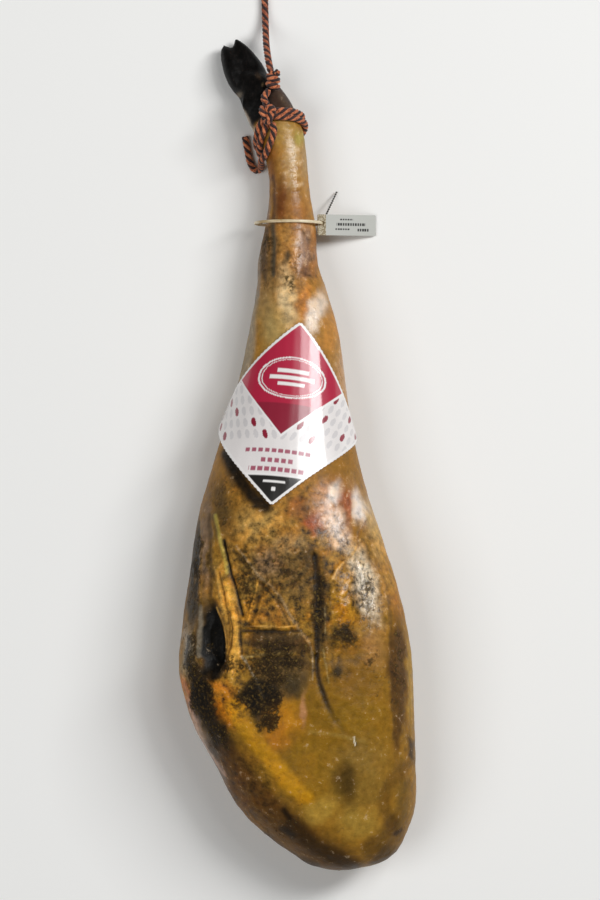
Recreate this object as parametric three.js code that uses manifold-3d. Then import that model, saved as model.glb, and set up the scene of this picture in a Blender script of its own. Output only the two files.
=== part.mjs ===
// A whole cured ham: a hind leg with its cloven hoof, lying on its flattened side, with a twisted hanging cord
// noosed round the fetlock, a square label card bent round the upper leg and a strap seal that carries a tag.
//
// Millimetres. +X to the right of the leg as seen from above, +Y along the leg towards the hoof, +Z up.
// The origin is on the resting plane, under the middle of the ham.
import * as THREE from "three";
import { mergeVertices } from "three/addons/utils/BufferGeometryUtils.js";
import Module from "manifold-3d";

const wasm = await Module();
wasm.setup();

// ---- Driving dimensions -------------------------------------------------------------------------------------

const GAP = 0.5; // clear space between touching pieces

// Cross-sections of the leg from the rump to the pastern. Each is an oval: its middle (x, y), half its width, the
// heights of its underside and its top, how far it is turned towards the foot, and how square the oval is.
// An underside below zero is pressed flat on the resting plane.
const LEG_SECTIONS = [
  { x: 41, y: -415.5, half: 0, under: 57, top: 57, turn: 0, square: 2.0 },
  { x: 43, y: -410, half: 29, under: 38, top: 78, turn: 0, square: 2.0 },
  { x: 46, y: -400, half: 49, under: 24, top: 91, turn: 0, square: 2.05 },
  { x: 39, y: -380, half: 70, under: 9, top: 105, turn: 0, square: 2.1 },
  { x: 29, y: -350, half: 88.5, under: 0, top: 116, turn: 0, square: 2.15 },
  { x: 18.5, y: -310, half: 100, under: -5, top: 124, turn: 0, square: 2.2 },
  { x: 6, y: -265, half: 111.5, under: -7, top: 129, turn: 0, square: 2.25 },
  { x: -1.5, y: -220, half: 117, under: -7, top: 131, turn: 0, square: 2.25 },
  { x: -2.5, y: -175, half: 113, under: -7, top: 130, turn: 0, square: 2.2 },
  { x: -5.5, y: -120, half: 102.5, under: -6, top: 126, turn: 0, square: 2.15 },
  { x: -11, y: -60, half: 88, under: -4, top: 118, turn: 0, square: 2.05 },
  { x: -11, y: 0, half: 71, under: -1, top: 107, turn: 0, square: 2.0 },
  { x: -6.5, y: 60, half: 56.5, under: 2, top: 94, turn: 0, square: 2.0 },
  { x: -3.5, y: 120, half: 45.5, under: 6, top: 82, turn: 0, square: 2.0 },
  { x: -6, y: 165, half: 35.5, under: 10, top: 73, turn: 0, square: 2.0 },
  { x: -9.5, y: 190, half: 30.5, under: 12, top: 68, turn: 0, square: 2.0 },
  { x: -7.5, y: 225, half: 26, under: 13, top: 62, turn: 0, square: 2.0 },
  { x: -7.5, y: 262, half: 20.5, under: 14, top: 57, turn: 0, square: 2.0 },
  { x: -11, y: 295, half: 20.5, under: 12.5, top: 55.5, turn: 4, square: 2.0 },
  { x: -17.5, y: 322, half: 23.5, under: 10, top: 54, turn: 14, square: 2.0 },
  { x: -26.5, y: 341, half: 24, under: 9, top: 51, turn: 25, square: 2.0 },
  { x: -35.5, y: 357, half: 22, under: 7, top: 46, turn: 31, square: 2.0 },
  { x: -44, y: 371, half: 18, under: 9, top: 41, turn: 31, square: 2.0 },
  { x: -50, y: 381, half: 11, under: 15, top: 34, turn: 31, square: 2.0 },
  { x: -53, y: 386, half: 0, under: 24, top: 24, turn: 31, square: 2.0 },
];
const BELLY = 0.46; // height of an oval's widest place, as a share of its own height
const LEG_ROWS = 54;
const LEG_COLUMNS = 36;

// The hoof: two main claws that reach forward of the pastern, and two small dewclaws behind it.
// blunt is the width of a claw near its tip, as a share of its base.
const CLAWS = [
  { base: [-52, 358, 20], tip: [-75, 412.5, 12], half: 13, high: 18, blunt: 0.68 },
  { base: [-32, 367, 18], tip: [-63.5, 419.5, 11], half: 14, high: 17, blunt: 0.46 },
  { base: [-38, 329, 36], tip: [-57, 357, 40], half: 8.5, high: 8, blunt: 0.42 },
  { base: [-36, 331, 18], tip: [-54, 358, 15], half: 8, high: 7.5, blunt: 0.42 },
];

// The cord: two-colour twisted rope.
const ROPE_D = 7;
const ROPE_SIDES = 8;
const NOOSE_TURNS = 2;
// The noose is drawn up towards the foot at its knot. Each pair is an angle round the leg, in degrees from its
// right side up over the top, and the noose's place there among the leg's sections.
const NOOSE_CLIMB = [
  [-80, 18.75],
  [0, 19.15],
  [60, 19.6],
  [100, 19.95],
  [130, 19.5],
  [160, 18.8],
  [185, 18.5],
  [230, 18.55],
  [280, 18.75],
];
const NOOSE_PITCH = 0.31; // sections from one turn to the next
const NOOSE_START = 104; // degrees round the leg
const NOOSE_STEPS = 72;
const KNOT = { at: [-30, 341, 61.5], size: [9.5, 12, 8.5] };
const SLIP_KNOT = { at: [-24.5, 375, 48], size: [8, 12, 8] };
const LINK_ROUTE = [
  [-31, 350, 60],
  [-33.5, 357, 55.5],
  [-29, 364, 51],
];
const TAIL_ROUTE = [
  [-25.5, 331, 60],
  [-23.5, 325, 58.5],
  [-25, 317.5, 57.5],
  [-28, 310, 55.5],
  [-31, 303, 51.8],
  [-34, 297.5, 45.5],
  [-36, 295, 38],
  [-36.5, 293, 29.8],
  [-36.3, 291, 21.5],
  [-36.5, 288.8, 13],
  [-38.4, 286.4, 6.8],
  [-42, 286.2, 4.2],
  [-45.4, 289.4, 4],
  [-47.6, 294.5, 4],
  [-49.2, 301, 4],
  [-50.5, 308, 4],
  [-51.8, 315, 4],
  [-52.6, 319.5, 4],
];
const LEAD_ROUTE = [
  [-27, 384, 46],
  [-29, 394, 40],
  [-30.5, 404, 31],
  [-31.5, 414, 21.5],
  [-32, 425, 13],
  [-32.4, 438, 6.3],
  [-32.8, 453, 3.9],
  [-33, 466, 5],
  [-33.2, 476, 8],
  [-33.2, 485, 10.6],
  [-33.2, 491, 11],
];
const EYE_KNOT = { at: [-29.5, 504, 11], half: [14.2, 10.8], length: 25 };
const EYE_WIDTH = 46;
const EYE_LENGTH = 82;
const EYE_THROAT = 7.4; // between the eye's two legs where the knot grips them

// The label: a square card, hung by a corner, bent round the tapering leg as round a cone.
const CARD = { side: 131, thick: 0.9, corner: 4, turn: 6.4, clear: 2.6, cells: 16, apex: 230 };
const CARD_MIDDLE = [-3.7, 41.6]; // its middle, across from the leg's crown and along the leg

// The seal: a strap ring that hangs on the shank, its lock and toothed tail, and the tag it carries.
const STRAP = { x: -9.1, y: 232, z: 36.2, halfX: 33.6, halfZ: 27.4, wide: 3, thick: 1.2, lean: 3.5 };
const STRAP_POINTS = 56;
const LOCK = { size: [5.2, 6.5, 6], z: 27 };
const TAIL = { tip: [39.5, 264.5, 2.4], wide: 2.2, thick: 1.2 };
const TAG = {
  wide: 21,
  left: 20,
  right: 78.5,
  y: 230.5,
  zLeft: 38,
  zRight: 1.6,
  thick: 1,
  corner: 1.5,
  hole: 2.6,
};

// ---- Geometry helpers ---------------------------------------------------------------------------------------

const radians = THREE.MathUtils.degToRad;

// A closed geometry as a manifold-3d solid, for cutting and joining.
function solidOf(geometry) {
  const bare = geometry.index ? geometry.toNonIndexed() : geometry.clone();
  const shell = new THREE.BufferGeometry().setAttribute("position", bare.getAttribute("position"));
  const merged = mergeVertices(shell, 1e-3);
  return new wasm.Manifold(
    new wasm.Mesh({
      numProp: 3,
      vertProperties: merged.attributes.position.array,
      triVerts: new Uint32Array(merged.index.array),
    }),
  );
}

// A manifold-3d solid as a three.js geometry again.
function geometryOf(solid) {
  const mesh = solid.getMesh();
  return new THREE.BufferGeometry()
    .setAttribute("position", new THREE.BufferAttribute(mesh.vertProperties, 3))
    .setIndex(new THREE.BufferAttribute(mesh.triVerts, 1));
}

// The same geometry with every vertex moved by a function of its position and its place on the shape.
function reshaped(geometry, move) {
  const position = geometry.getAttribute("position");
  const uv = geometry.getAttribute("uv");
  const point = new THREE.Vector3();
  for (let i = 0; i < position.count; i++) {
    point.fromBufferAttribute(position, i);
    move(point, uv.getX(i), uv.getY(i));
    position.setXYZ(i, point.x, point.y, point.z);
  }
  return geometry;
}

// A round tube along a smooth curve, closed at both ends.
function tube(curve, diameter, steps) {
  const section = new THREE.Shape().absarc(0, 0, diameter / 2, 0, 2 * Math.PI, false);
  return new THREE.ExtrudeGeometry(section, {
    steps,
    curveSegments: ROPE_SIDES / 2,
    bevelEnabled: false,
    extrudePath: curve,
  });
}

const curveThrough = (points) => new THREE.CatmullRomCurve3(points.map((p) => new THREE.Vector3(...p)));

// An oval ball, as a plain stand-in for a knot.
const lump = ({ at, size }) => new THREE.SphereGeometry(1, 16, 12).scale(...size).translate(...at);

function mesh(name, geometry, color, roughness) {
  const made = new THREE.Mesh(geometry, new THREE.MeshStandardMaterial({ color, roughness, metalness: 0 }));
  made.name = name;
  return made;
}

// ---- The leg ------------------------------------------------------------------------------------------------

const sectionCurve = (a, b, c) =>
  new THREE.CatmullRomCurve3(
    LEG_SECTIONS.map((s) => new THREE.Vector3(s[a], s[b], s[c])),
    false,
    "catmullrom",
    0.5,
  );
const middles = sectionCurve("x", "y", "turn");
const sizes = sectionCurve("half", "under", "top");
const squares = sectionCurve("square", "square", "square");

// The point of the leg's surface at a place among its sections (0 to their last index) and an angle round it.
// grow swells the oval, for pieces that lie on the leg.
function legPoint(station, angle, grow = 0) {
  const t = THREE.MathUtils.clamp(station / (LEG_SECTIONS.length - 1), 0, 1);
  const middle = middles.getPoint(t);
  const size = sizes.getPoint(t);
  const power = 2 / squares.getPoint(t).x;
  const across = Math.sign(Math.cos(angle)) * Math.abs(Math.cos(angle)) ** power;
  const up = Math.sign(Math.sin(angle)) * Math.abs(Math.sin(angle)) ** power;
  const belly = size.y + BELLY * (size.z - size.y);
  const reach = (up > 0 ? size.z - belly : belly - size.y) + grow;
  const side = across * (Math.max(size.x, 0) + grow);
  const turn = radians(middle.z);
  return new THREE.Vector3(
    middle.x + side * Math.cos(turn),
    middle.y + side * Math.sin(turn),
    belly + up * reach,
  );
}

function legGeometry() {
  const last = LEG_SECTIONS.length - 1;
  return reshaped(new THREE.SphereGeometry(1, LEG_COLUMNS, LEG_ROWS), (point, u, v) => {
    point.copy(legPoint(v * last, -2 * Math.PI * u));
    point.z = Math.max(point.z, 0);
  });
}

// A claw: an egg drawn out to a blunt tip and flat where it meets the ground.
function clawGeometry({ base, tip, half, high, blunt }) {
  const from = new THREE.Vector3(...base);
  const to = new THREE.Vector3(...tip);
  const along = to.clone().sub(from);
  const place = new THREE.Matrix4().compose(
    from.clone().add(to).multiplyScalar(0.5),
    new THREE.Quaternion().setFromUnitVectors(new THREE.Vector3(0, 1, 0), along.clone().normalize()),
    new THREE.Vector3(1, 1, 1),
  );
  const egg = reshaped(new THREE.SphereGeometry(1, 18, 14), (point) => {
    const taper = THREE.MathUtils.lerp(1, blunt, (point.y + 1) / 2);
    point.set(point.x * half * taper, (point.y * along.length()) / 2, point.z * high * taper);
    point.applyMatrix4(place);
    point.z = Math.max(point.z, 0);
  });
  return egg;
}

function hamLeg() {
  let leg = solidOf(legGeometry());
  for (const claw of CLAWS) leg = leg.add(solidOf(clawGeometry(claw)));
  return mesh("ham_leg", geometryOf(leg), 0x9a6a2c, 0.45);
}

// ---- The hanging cord ---------------------------------------------------------------------------------------

// The noose's place among the leg's sections at an angle round it.
function nooseStation(degrees) {
  const around = THREE.MathUtils.euclideanModulo(degrees + 80, 360) - 80;
  const after = NOOSE_CLIMB.findIndex(([angle]) => angle > around);
  const [[a0, s0], [a1, s1]] = [NOOSE_CLIMB[after - 1], NOOSE_CLIMB[after]];
  return s0 + (s1 - s0) * THREE.MathUtils.smoothstep(around, a0, a1);
}

// The noose lies on the leg and moves along it by one cord's width each turn.
function nooseCurve() {
  const points = [];
  for (let i = 0; i <= NOOSE_STEPS; i++) {
    const turned = (i / NOOSE_STEPS) * (NOOSE_TURNS - 0.02);
    const degrees = NOOSE_START - 360 * turned;
    const station = nooseStation(degrees) + NOOSE_PITCH * (NOOSE_TURNS / 2 - turned);
    const point = legPoint(station, radians(degrees), ROPE_D / 2 + GAP + 0.3);
    point.z = Math.max(point.z, ROPE_D / 2 + GAP);
    points.push(point);
  }
  return new THREE.CatmullRomCurve3(points);
}

// The eye: a teardrop of cord that leaves the knot and comes back to it.
function eyeCurve() {
  const [x, y] = EYE_KNOT.at;
  const start = y + EYE_KNOT.length / 2 + GAP;
  const half = EYE_WIDTH / 2;
  const floor = ROPE_D / 2 + 0.3;
  const side = (share, across, height) => [
    [x - across, start + share * EYE_LENGTH, height],
    [x + across, start + share * EYE_LENGTH, height],
  ];
  const throat = side(0, EYE_THROAT / 2, EYE_KNOT.at[2]);
  const straight = side(0.04, EYE_THROAT / 2, EYE_KNOT.at[2]);
  const neck = side(0.14, EYE_THROAT / 2 + 3, 8);
  const shoulder = side(0.38, half - 6, floor);
  const widest = side(0.66, half, floor);
  const crown = side(0.9, half * 0.66, floor);
  const top = [x, start + EYE_LENGTH, floor];
  return curveThrough([
    throat[0],
    straight[0],
    neck[0],
    shoulder[0],
    widest[0],
    crown[0],
    top,
    crown[1],
    widest[1],
    shoulder[1],
    neck[1],
    straight[1],
    throat[1],
  ]);
}

function eyeKnotGeometry() {
  const { at, half, length } = EYE_KNOT;
  const section = new THREE.Shape().absellipse(0, 0, half[0], half[1], 0, 2 * Math.PI, false, 0);
  return new THREE.ExtrudeGeometry(section, { depth: length, curveSegments: 20, bevelEnabled: false })
    .translate(0, 0, -length / 2)
    .rotateX(Math.PI / 2)
    .translate(...at);
}

function hangingCord() {
  const group = new THREE.Group();
  const knot = solidOf(lump(KNOT));
  const slipKnot = solidOf(lump(SLIP_KNOT));
  const grown = (k) => solidOf(lump({ at: k.at, size: k.size.map((s) => s + GAP) }));
  // Each stretch of cord stops just short of the knots that it runs into.
  const stretch = (curve, steps) =>
    geometryOf(
      solidOf(tube(curve, ROPE_D, steps)).subtract(grown(KNOT)).subtract(grown(SLIP_KNOT)),
    );
  const dark = 0x5a3020;
  group.add(mesh("rope_noose", stretch(nooseCurve(), NOOSE_STEPS), dark, 0.8));
  group.add(mesh("rope_knot", geometryOf(knot), dark, 0.8));
  group.add(mesh("rope_link", stretch(curveThrough(LINK_ROUTE), 6), dark, 0.8));
  group.add(mesh("rope_slip_knot", geometryOf(slipKnot), dark, 0.8));
  group.add(mesh("rope_tail", stretch(curveThrough(TAIL_ROUTE), 26), dark, 0.8));
  group.add(mesh("rope_lead", stretch(curveThrough(LEAD_ROUTE), 28), dark, 0.8));
  group.add(mesh("rope_eye", tube(eyeCurve(), ROPE_D, 44), dark, 0.8));
  group.add(mesh("rope_eye_knot", eyeKnotGeometry(), dark, 0.8));
  return group;
}

// ---- The label card -----------------------------------------------------------------------------------------

// The place among the leg's sections whose middle lies at a given distance along the leg.
function stationAt(y) {
  const last = LEG_SECTIONS.length - 1;
  let low = 0;
  let high = last;
  for (let i = 0; i < 30; i++) {
    const mid = (low + high) / 2;
    if (middles.getPoint(mid / last).y < y) low = mid;
    else high = mid;
  }
  return (low + high) / 2;
}

// The point reached by going a distance round the leg from its crown, at one place along it.
function roundTheLeg(y, distance, grow) {
  const station = stationAt(y);
  const step = radians(1.5) * (distance < 0 ? 1 : -1);
  let angle = Math.PI / 2;
  let here = legPoint(station, angle, grow);
  let left = Math.abs(distance);
  for (;;) {
    const next = legPoint(station, angle + step, grow);
    const length = here.distanceTo(next);
    if (length >= left) return here.lerp(next, left / length);
    left -= length;
    angle += step;
    here = next;
  }
}

// A flat square card with rounded corners, divided into cells, wrapped on the leg. The cone that the card bends
// round has its apex beyond the hoof, so the card's side corners swing down towards the rump.
function cardGeometry() {
  const { side, thick, corner, turn, clear, cells, apex } = CARD;
  const turned = radians(45 - turn);
  const edge = side / 2 - corner;
  const flat = new THREE.BoxGeometry(side, side, thick, cells, cells, 1);
  return reshaped(flat, (point) => {
    const x = THREE.MathUtils.clamp(point.x, -edge, edge);
    const y = THREE.MathUtils.clamp(point.y, -edge, edge);
    const over = Math.hypot(point.x - x, point.y - y);
    const most = Math.max(Math.abs(point.x - x), Math.abs(point.y - y));
    const pull = over > 0 ? most / over : 1;
    const px = x + (point.x - x) * pull;
    const py = y + (point.y - y) * pull;
    const across = px * Math.cos(turned) - py * Math.sin(turned);
    const along = px * Math.sin(turned) + py * Math.cos(turned);
    const fromApex = Math.hypot(across, apex - along);
    const around = CARD_MIDDLE[0] + Math.atan2(across, apex - along) * fromApex;
    point.copy(roundTheLeg(CARD_MIDDLE[1] + apex - fromApex, around, clear + thick / 2 + point.z));
  });
}

// ---- The seal -----------------------------------------------------------------------------------------------

// The strap's ring in its own plane, extruded to the strap's width and stood across the shank.
function strapRing() {
  const oval = (grow) =>
    new THREE.Path()
      .absellipse(0, 0, STRAP.halfX + grow, STRAP.halfZ + grow, 0, 2 * Math.PI, false, 0)
      .getPoints(STRAP_POINTS);
  const outline = new THREE.Shape(oval(STRAP.thick / 2));
  outline.holes.push(new THREE.Path(oval(-STRAP.thick / 2)));
  return new THREE.ExtrudeGeometry(outline, { depth: STRAP.wide, bevelEnabled: false })
    .translate(0, 0, -STRAP.wide / 2)
    .rotateX(Math.PI / 2 - radians(STRAP.lean))
    .translate(STRAP.x, STRAP.y, STRAP.z);
}

function sealTie() {
  const lockAt = new THREE.Vector3(STRAP.x + STRAP.halfX, STRAP.y, LOCK.z);
  const lock = new THREE.BoxGeometry(...LOCK.size).translate(lockAt.x, lockAt.y, lockAt.z);
  const tip = new THREE.Vector3(...TAIL.tip);
  const run = tip.clone().sub(lockAt);
  const ahead = new THREE.Quaternion().setFromUnitVectors(new THREE.Vector3(0, 1, 0), run.clone().normalize());
  const tail = new THREE.BoxGeometry(TAIL.wide, run.length(), TAIL.thick)
    .applyQuaternion(ahead)
    .translate(...lockAt.clone().add(tip).multiplyScalar(0.5).toArray());
  const joined = solidOf(strapRing()).add(solidOf(lock)).add(solidOf(tail));
  return mesh("seal_tie", geometryOf(joined), 0xe4d6b8, 0.4);
}

// The tag slopes from the strap, which passes through its hole, down to the resting plane.
function sealTag() {
  const run = TAG.right - TAG.left;
  const fall = TAG.zLeft - TAG.zRight;
  const length = Math.hypot(run, fall);
  const halfWide = TAG.wide / 2;
  const r = TAG.corner;
  const outline = new THREE.Shape()
    .moveTo(r, -halfWide)
    .lineTo(length - r, -halfWide)
    .absarc(length - r, -halfWide + r, r, -Math.PI / 2, 0)
    .lineTo(length, halfWide - r)
    .absarc(length - r, halfWide - r, r, 0, Math.PI / 2)
    .lineTo(r, halfWide)
    .absarc(r, halfWide - r, r, Math.PI / 2, Math.PI)
    .lineTo(0, -halfWide + r)
    .absarc(r, -halfWide + r, r, Math.PI, 1.5 * Math.PI);
  const holeAt = ((STRAP.x + STRAP.halfX - TAG.left) * length) / run;
  outline.holes.push(new THREE.Path().absarc(holeAt, STRAP.y - TAG.y, TAG.hole, 0, 2 * Math.PI, true));
  const geometry = new THREE.ExtrudeGeometry(outline, { depth: TAG.thick, curveSegments: 5, bevelEnabled: false })
    .translate(0, 0, -TAG.thick / 2)
    .rotateY(Math.atan2(fall, run))
    .translate(TAG.left, TAG.y, TAG.zLeft);
  return mesh("seal_tag", geometry, 0xcfd0cc, 0.45);
}

// ---- The whole ham ------------------------------------------------------------------------------------------

const ham = new THREE.Group();
ham.add(hamLeg());
ham.add(mesh("label_card", cardGeometry(), 0xf2f0ee, 0.3));
ham.add(sealTie());
ham.add(sealTag());
ham.add(hangingCord());

export default ham;
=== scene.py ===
"""A whole cured ham, lying on its flat side and seen from above.

The leg is sculpted from the frame's plain leg: remeshed finely, then creased, ridged and hollowed as a real one
is. Its colours are painted on its vertices in broad patches, and its skin's fine grain comes from procedural
nodes. The hanging cord is laid from real strands, and the card, strap and tag are built as made things.
"""

import logging
import math
from collections.abc import Sequence
from dataclasses import dataclass, field
from enum import Enum

import bmesh
import bpy
import numpy as np
from mathutils import Matrix, Vector, noise
from mathutils.bvhtree import BVHTree


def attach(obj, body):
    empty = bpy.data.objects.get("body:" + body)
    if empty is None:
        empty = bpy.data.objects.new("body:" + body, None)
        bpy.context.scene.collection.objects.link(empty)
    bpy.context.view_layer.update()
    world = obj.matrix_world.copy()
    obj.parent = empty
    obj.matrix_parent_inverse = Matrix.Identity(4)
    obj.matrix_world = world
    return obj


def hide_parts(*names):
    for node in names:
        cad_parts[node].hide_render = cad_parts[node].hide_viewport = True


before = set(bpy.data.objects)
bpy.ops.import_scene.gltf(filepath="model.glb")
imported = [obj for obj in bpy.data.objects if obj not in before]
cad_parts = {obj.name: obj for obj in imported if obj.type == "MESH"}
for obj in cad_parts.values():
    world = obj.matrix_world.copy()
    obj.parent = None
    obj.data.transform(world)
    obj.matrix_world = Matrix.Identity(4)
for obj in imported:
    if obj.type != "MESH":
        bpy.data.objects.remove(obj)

log = logging.getLogger("ham")

MM = 0.001
BODY = "root"
ROPE_D = 7.0  # mm
CORD_GAP = 0.4  # mm between a cord and what it lies on
UP = Vector((0.0, 0.0, 1.0))
SPLINE_CUTS = 24  # straight cuts between two of a curve's given points
OFF_CARD = 200.0  # mm, from a card's middle to a place off it, from which its rows are counted

Point = tuple[float, float, float]
Plan = tuple[float, float]
Places = tuple[np.ndarray, np.ndarray]
Colour = tuple[float, float, float, float]
Sockets = dict[str | int, object]


# ---- Small helpers ------------------------------------------------------------------------------------------


def linear(colour: str) -> Colour:
    """Turn an sRGB hex colour into linear light.

    Args:
        colour: Six hex digits, with or without a leading #.

    Returns:
        Red, green, blue and an alpha of 1, in linear light.
    """
    digits = colour.lstrip("#")
    shares = [int(digits[i : i + 2], 16) / 255 for i in (0, 2, 4)]
    light = [c / 12.92 if c <= 0.04045 else ((c + 0.055) / 1.055) ** 2.4 for c in shares]
    return (light[0], light[1], light[2], 1.0)


def feed(tree: bpy.types.NodeTree, node: bpy.types.Node, inputs: Sockets) -> None:
    """Fill a node's input sockets.

    Args:
        tree: The node tree.
        node: The node.
        inputs: Sockets by name or place, each with a value or with the output socket that feeds it.
    """
    for key, value in inputs.items():
        if isinstance(value, bpy.types.NodeSocket):
            tree.links.new(value, node.inputs[key])
        else:
            node.inputs[key].default_value = value


def add(
    tree: bpy.types.NodeTree,
    kind: str,
    inputs: Sockets | None = None,
    stops: Sequence[tuple[float, str]] = (),
    **settings: object,
) -> bpy.types.Node:
    """Add one shader node.

    Args:
        tree: The node tree.
        kind: The node's type name, without its ShaderNode start.
        inputs: Its input sockets, as for feed.
        stops: Places and hex colours of a colour ramp.
        settings: The node's own settings.

    Returns:
        The new node.
    """
    node = tree.nodes.new("ShaderNode" + kind)
    for name, value in settings.items():
        setattr(node, name, value)
    for i, (place, colour) in enumerate(stops):
        elements = node.color_ramp.elements
        element = elements[i] if i < 2 else elements.new(place)
        element.position = place
        element.color = linear(colour)
    feed(tree, node, inputs or {})
    return node


def weigh(
    tree: bpy.types.NodeTree,
    start: bpy.types.NodeSocket | float,
    *terms: tuple[bpy.types.NodeSocket, float],
) -> bpy.types.NodeSocket:
    """Add up patterns, each by its own gain.

    Args:
        tree: The node tree.
        start: What they are added to.
        terms: The patterns and their gains.

    Returns:
        The sum.
    """
    total = start
    for pattern, gain in terms:
        total = add(tree, "Math", {0: pattern, 1: gain, 2: total}, operation="MULTIPLY_ADD").outputs[0]
    return total


def add_object(name: str, data: bpy.types.ID) -> bpy.types.Object:
    """Link a mesh, curve, light or camera to the scene as an object at the origin.

    Args:
        name: The object's name.
        data: What it holds.

    Returns:
        The new object.
    """
    obj = bpy.data.objects.new(name, data)
    bpy.context.scene.collection.objects.link(obj)
    return obj


def add_shape(name: str, shape: bmesh.types.BMesh, finish: "Finish") -> bpy.types.Object:
    """Turn a bmesh in millimetres into a smooth-shaded object in metres.

    Args:
        name: The piece's name.
        shape: The shape, which is freed here.
        finish: What it is made of.

    Returns:
        The new object, at the origin.
    """
    bmesh.ops.scale(shape, vec=(MM, MM, MM), verts=shape.verts)
    mesh = bpy.data.meshes.new(name)
    shape.to_mesh(mesh)
    shape.free()
    mesh.polygons.foreach_set("use_smooth", [True] * len(mesh.polygons))
    mesh.materials.append(finish.material())
    return add_object(name, mesh)


def paint_tint(mesh: bpy.types.Mesh, colours: Sequence[Colour] | np.ndarray, name: str = "tint") -> None:
    """Store one colour for each vertex, under the name that the finishes read."""
    layer = mesh.color_attributes.new(name, "FLOAT_COLOR", "POINT")
    layer.data.foreach_set("color", np.array(colours, np.float32).ravel())


def thicken(piece: bpy.types.Object, thick: float) -> None:
    """Give a sheet its thickness in mm, half of it to each side."""
    wall = piece.modifiers.new("thickness", "SOLIDIFY")
    wall.thickness, wall.offset = thick * MM, 0.0


def mount(obj: bpy.types.Object, slot: str, *nodes: str) -> bpy.types.Object:
    """Args:
        obj: The piece.
        slot: Its material slot; not used.
        nodes: The frame's nodes that it stands for.

    Returns:
        The same piece.
    """
    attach(obj, BODY)
    if nodes:
        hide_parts(*nodes)
    log.info("%s: %d faces", obj.name, len(obj.data.polygons))
    return obj


def smoothstep(value: np.ndarray | float, low: float, high: float) -> np.ndarray:
    """Return 0 below low, 1 above high and a smooth rise between."""
    share = np.clip((value - low) / (high - low), 0, 1)
    return share * share * (3 - 2 * share)


def through(points: Sequence[Point], step: float) -> np.ndarray:
    """Run a smooth curve through points, as a centripetal Catmull-Rom spline.

    Args:
        points: The points, in mm.
        step: The distance between the curve's own points, in mm.

    Returns:
        The curve's points, evenly spaced, in mm.
    """
    knots = np.array(points, float)
    knots = np.vstack([2 * knots[0] - knots[1], knots, 2 * knots[-1] - knots[-2]])
    pieces = []
    for p0, p1, p2, p3 in zip(knots, knots[1:], knots[2:], knots[3:]):
        gaps = [np.linalg.norm(b - a) ** 0.5 for a, b in ((p0, p1), (p1, p2), (p2, p3))]
        t0, t1, t2, t3 = np.cumsum([0, *gaps])
        t = np.linspace(t1, t2, SPLINE_CUTS, endpoint=False)[:, None]
        a1 = (t1 - t) / (t1 - t0) * p0 + (t - t0) / (t1 - t0) * p1
        a2 = (t2 - t) / (t2 - t1) * p1 + (t - t1) / (t2 - t1) * p2
        a3 = (t3 - t) / (t3 - t2) * p2 + (t - t2) / (t3 - t2) * p3
        b1 = (t2 - t) / (t2 - t0) * a1 + (t - t0) / (t2 - t0) * a2
        b2 = (t3 - t) / (t3 - t1) * a2 + (t - t1) / (t3 - t1) * a3
        pieces.append((t2 - t) / (t2 - t1) * b1 + (t - t1) / (t2 - t1) * b2)
    line = np.vstack([*pieces, knots[-2][None]])
    return even(line, step)


def even(line: np.ndarray, step: float) -> np.ndarray:
    """Space a line's points evenly.

    Args:
        line: The line's points, in mm.
        step: About how far apart the new ones are, in mm.

    Returns:
        The new points, from the same start to the same end.
    """
    along = np.concatenate([[0], np.cumsum(np.linalg.norm(np.diff(line, axis=0), axis=1))])
    at = np.linspace(0, along[-1], max(2, round(along[-1] / step) + 1))
    return np.stack([np.interp(at, along, line[:, k]) for k in range(3)], axis=1)


def rounded(place: Plan, half: Plan, radius: float) -> Plan:
    """Pull a place near a rectangle's corner in to the corner's rounding.

    Args:
        place: The place, from the rectangle's middle, in mm.
        half: Half the rectangle's sides.
        radius: The rounding's radius.

    Returns:
        The place, moved only if it is by a corner.
    """
    over = [max(abs(at) - side + radius, 0) for at, side in zip(place, half)]
    if not all(over):
        return place
    pull = max(over) / math.hypot(*over)
    x, y = (math.copysign(side - radius + past * pull, at) for at, side, past in zip(place, half, over))
    return x, y


def plain_leg() -> bmesh.types.BMesh:
    """Return a copy of the frame's plain leg with its triangles joined, in metres."""
    shape = bmesh.new()
    shape.from_mesh(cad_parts["ham_leg"].data)
    bmesh.ops.remove_doubles(shape, verts=shape.verts, dist=0.01 * MM)
    return shape


# ---- The plan of the leg: its patches and creases, in mm on the leg seen from above -------------------------


@dataclass(frozen=True)
class Daub:
    """A soft oval patch on the leg's upper side: of a colour or, without one, of mould, gloss or roughness."""

    colour: str
    x: float
    y: float
    across: float
    along: float
    turn: float = 0.0
    strength: float = 0.85
    soft: float = 0.7


@dataclass(frozen=True)
class Stroke:
    """A soft line of colour, a crease or a ridge along the leg's upper side."""

    points: tuple[Plan, ...]
    half: float
    colour: str = ""
    strength: float = 0.85
    height: float = 0.0


@dataclass(frozen=True)
class Dent:
    """A soft oval swelling or, where its height is below zero, a hollow."""

    x: float
    y: float
    across: float
    along: float
    height: float
    turn: float = 0.0
    soft: float = 0.8
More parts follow.
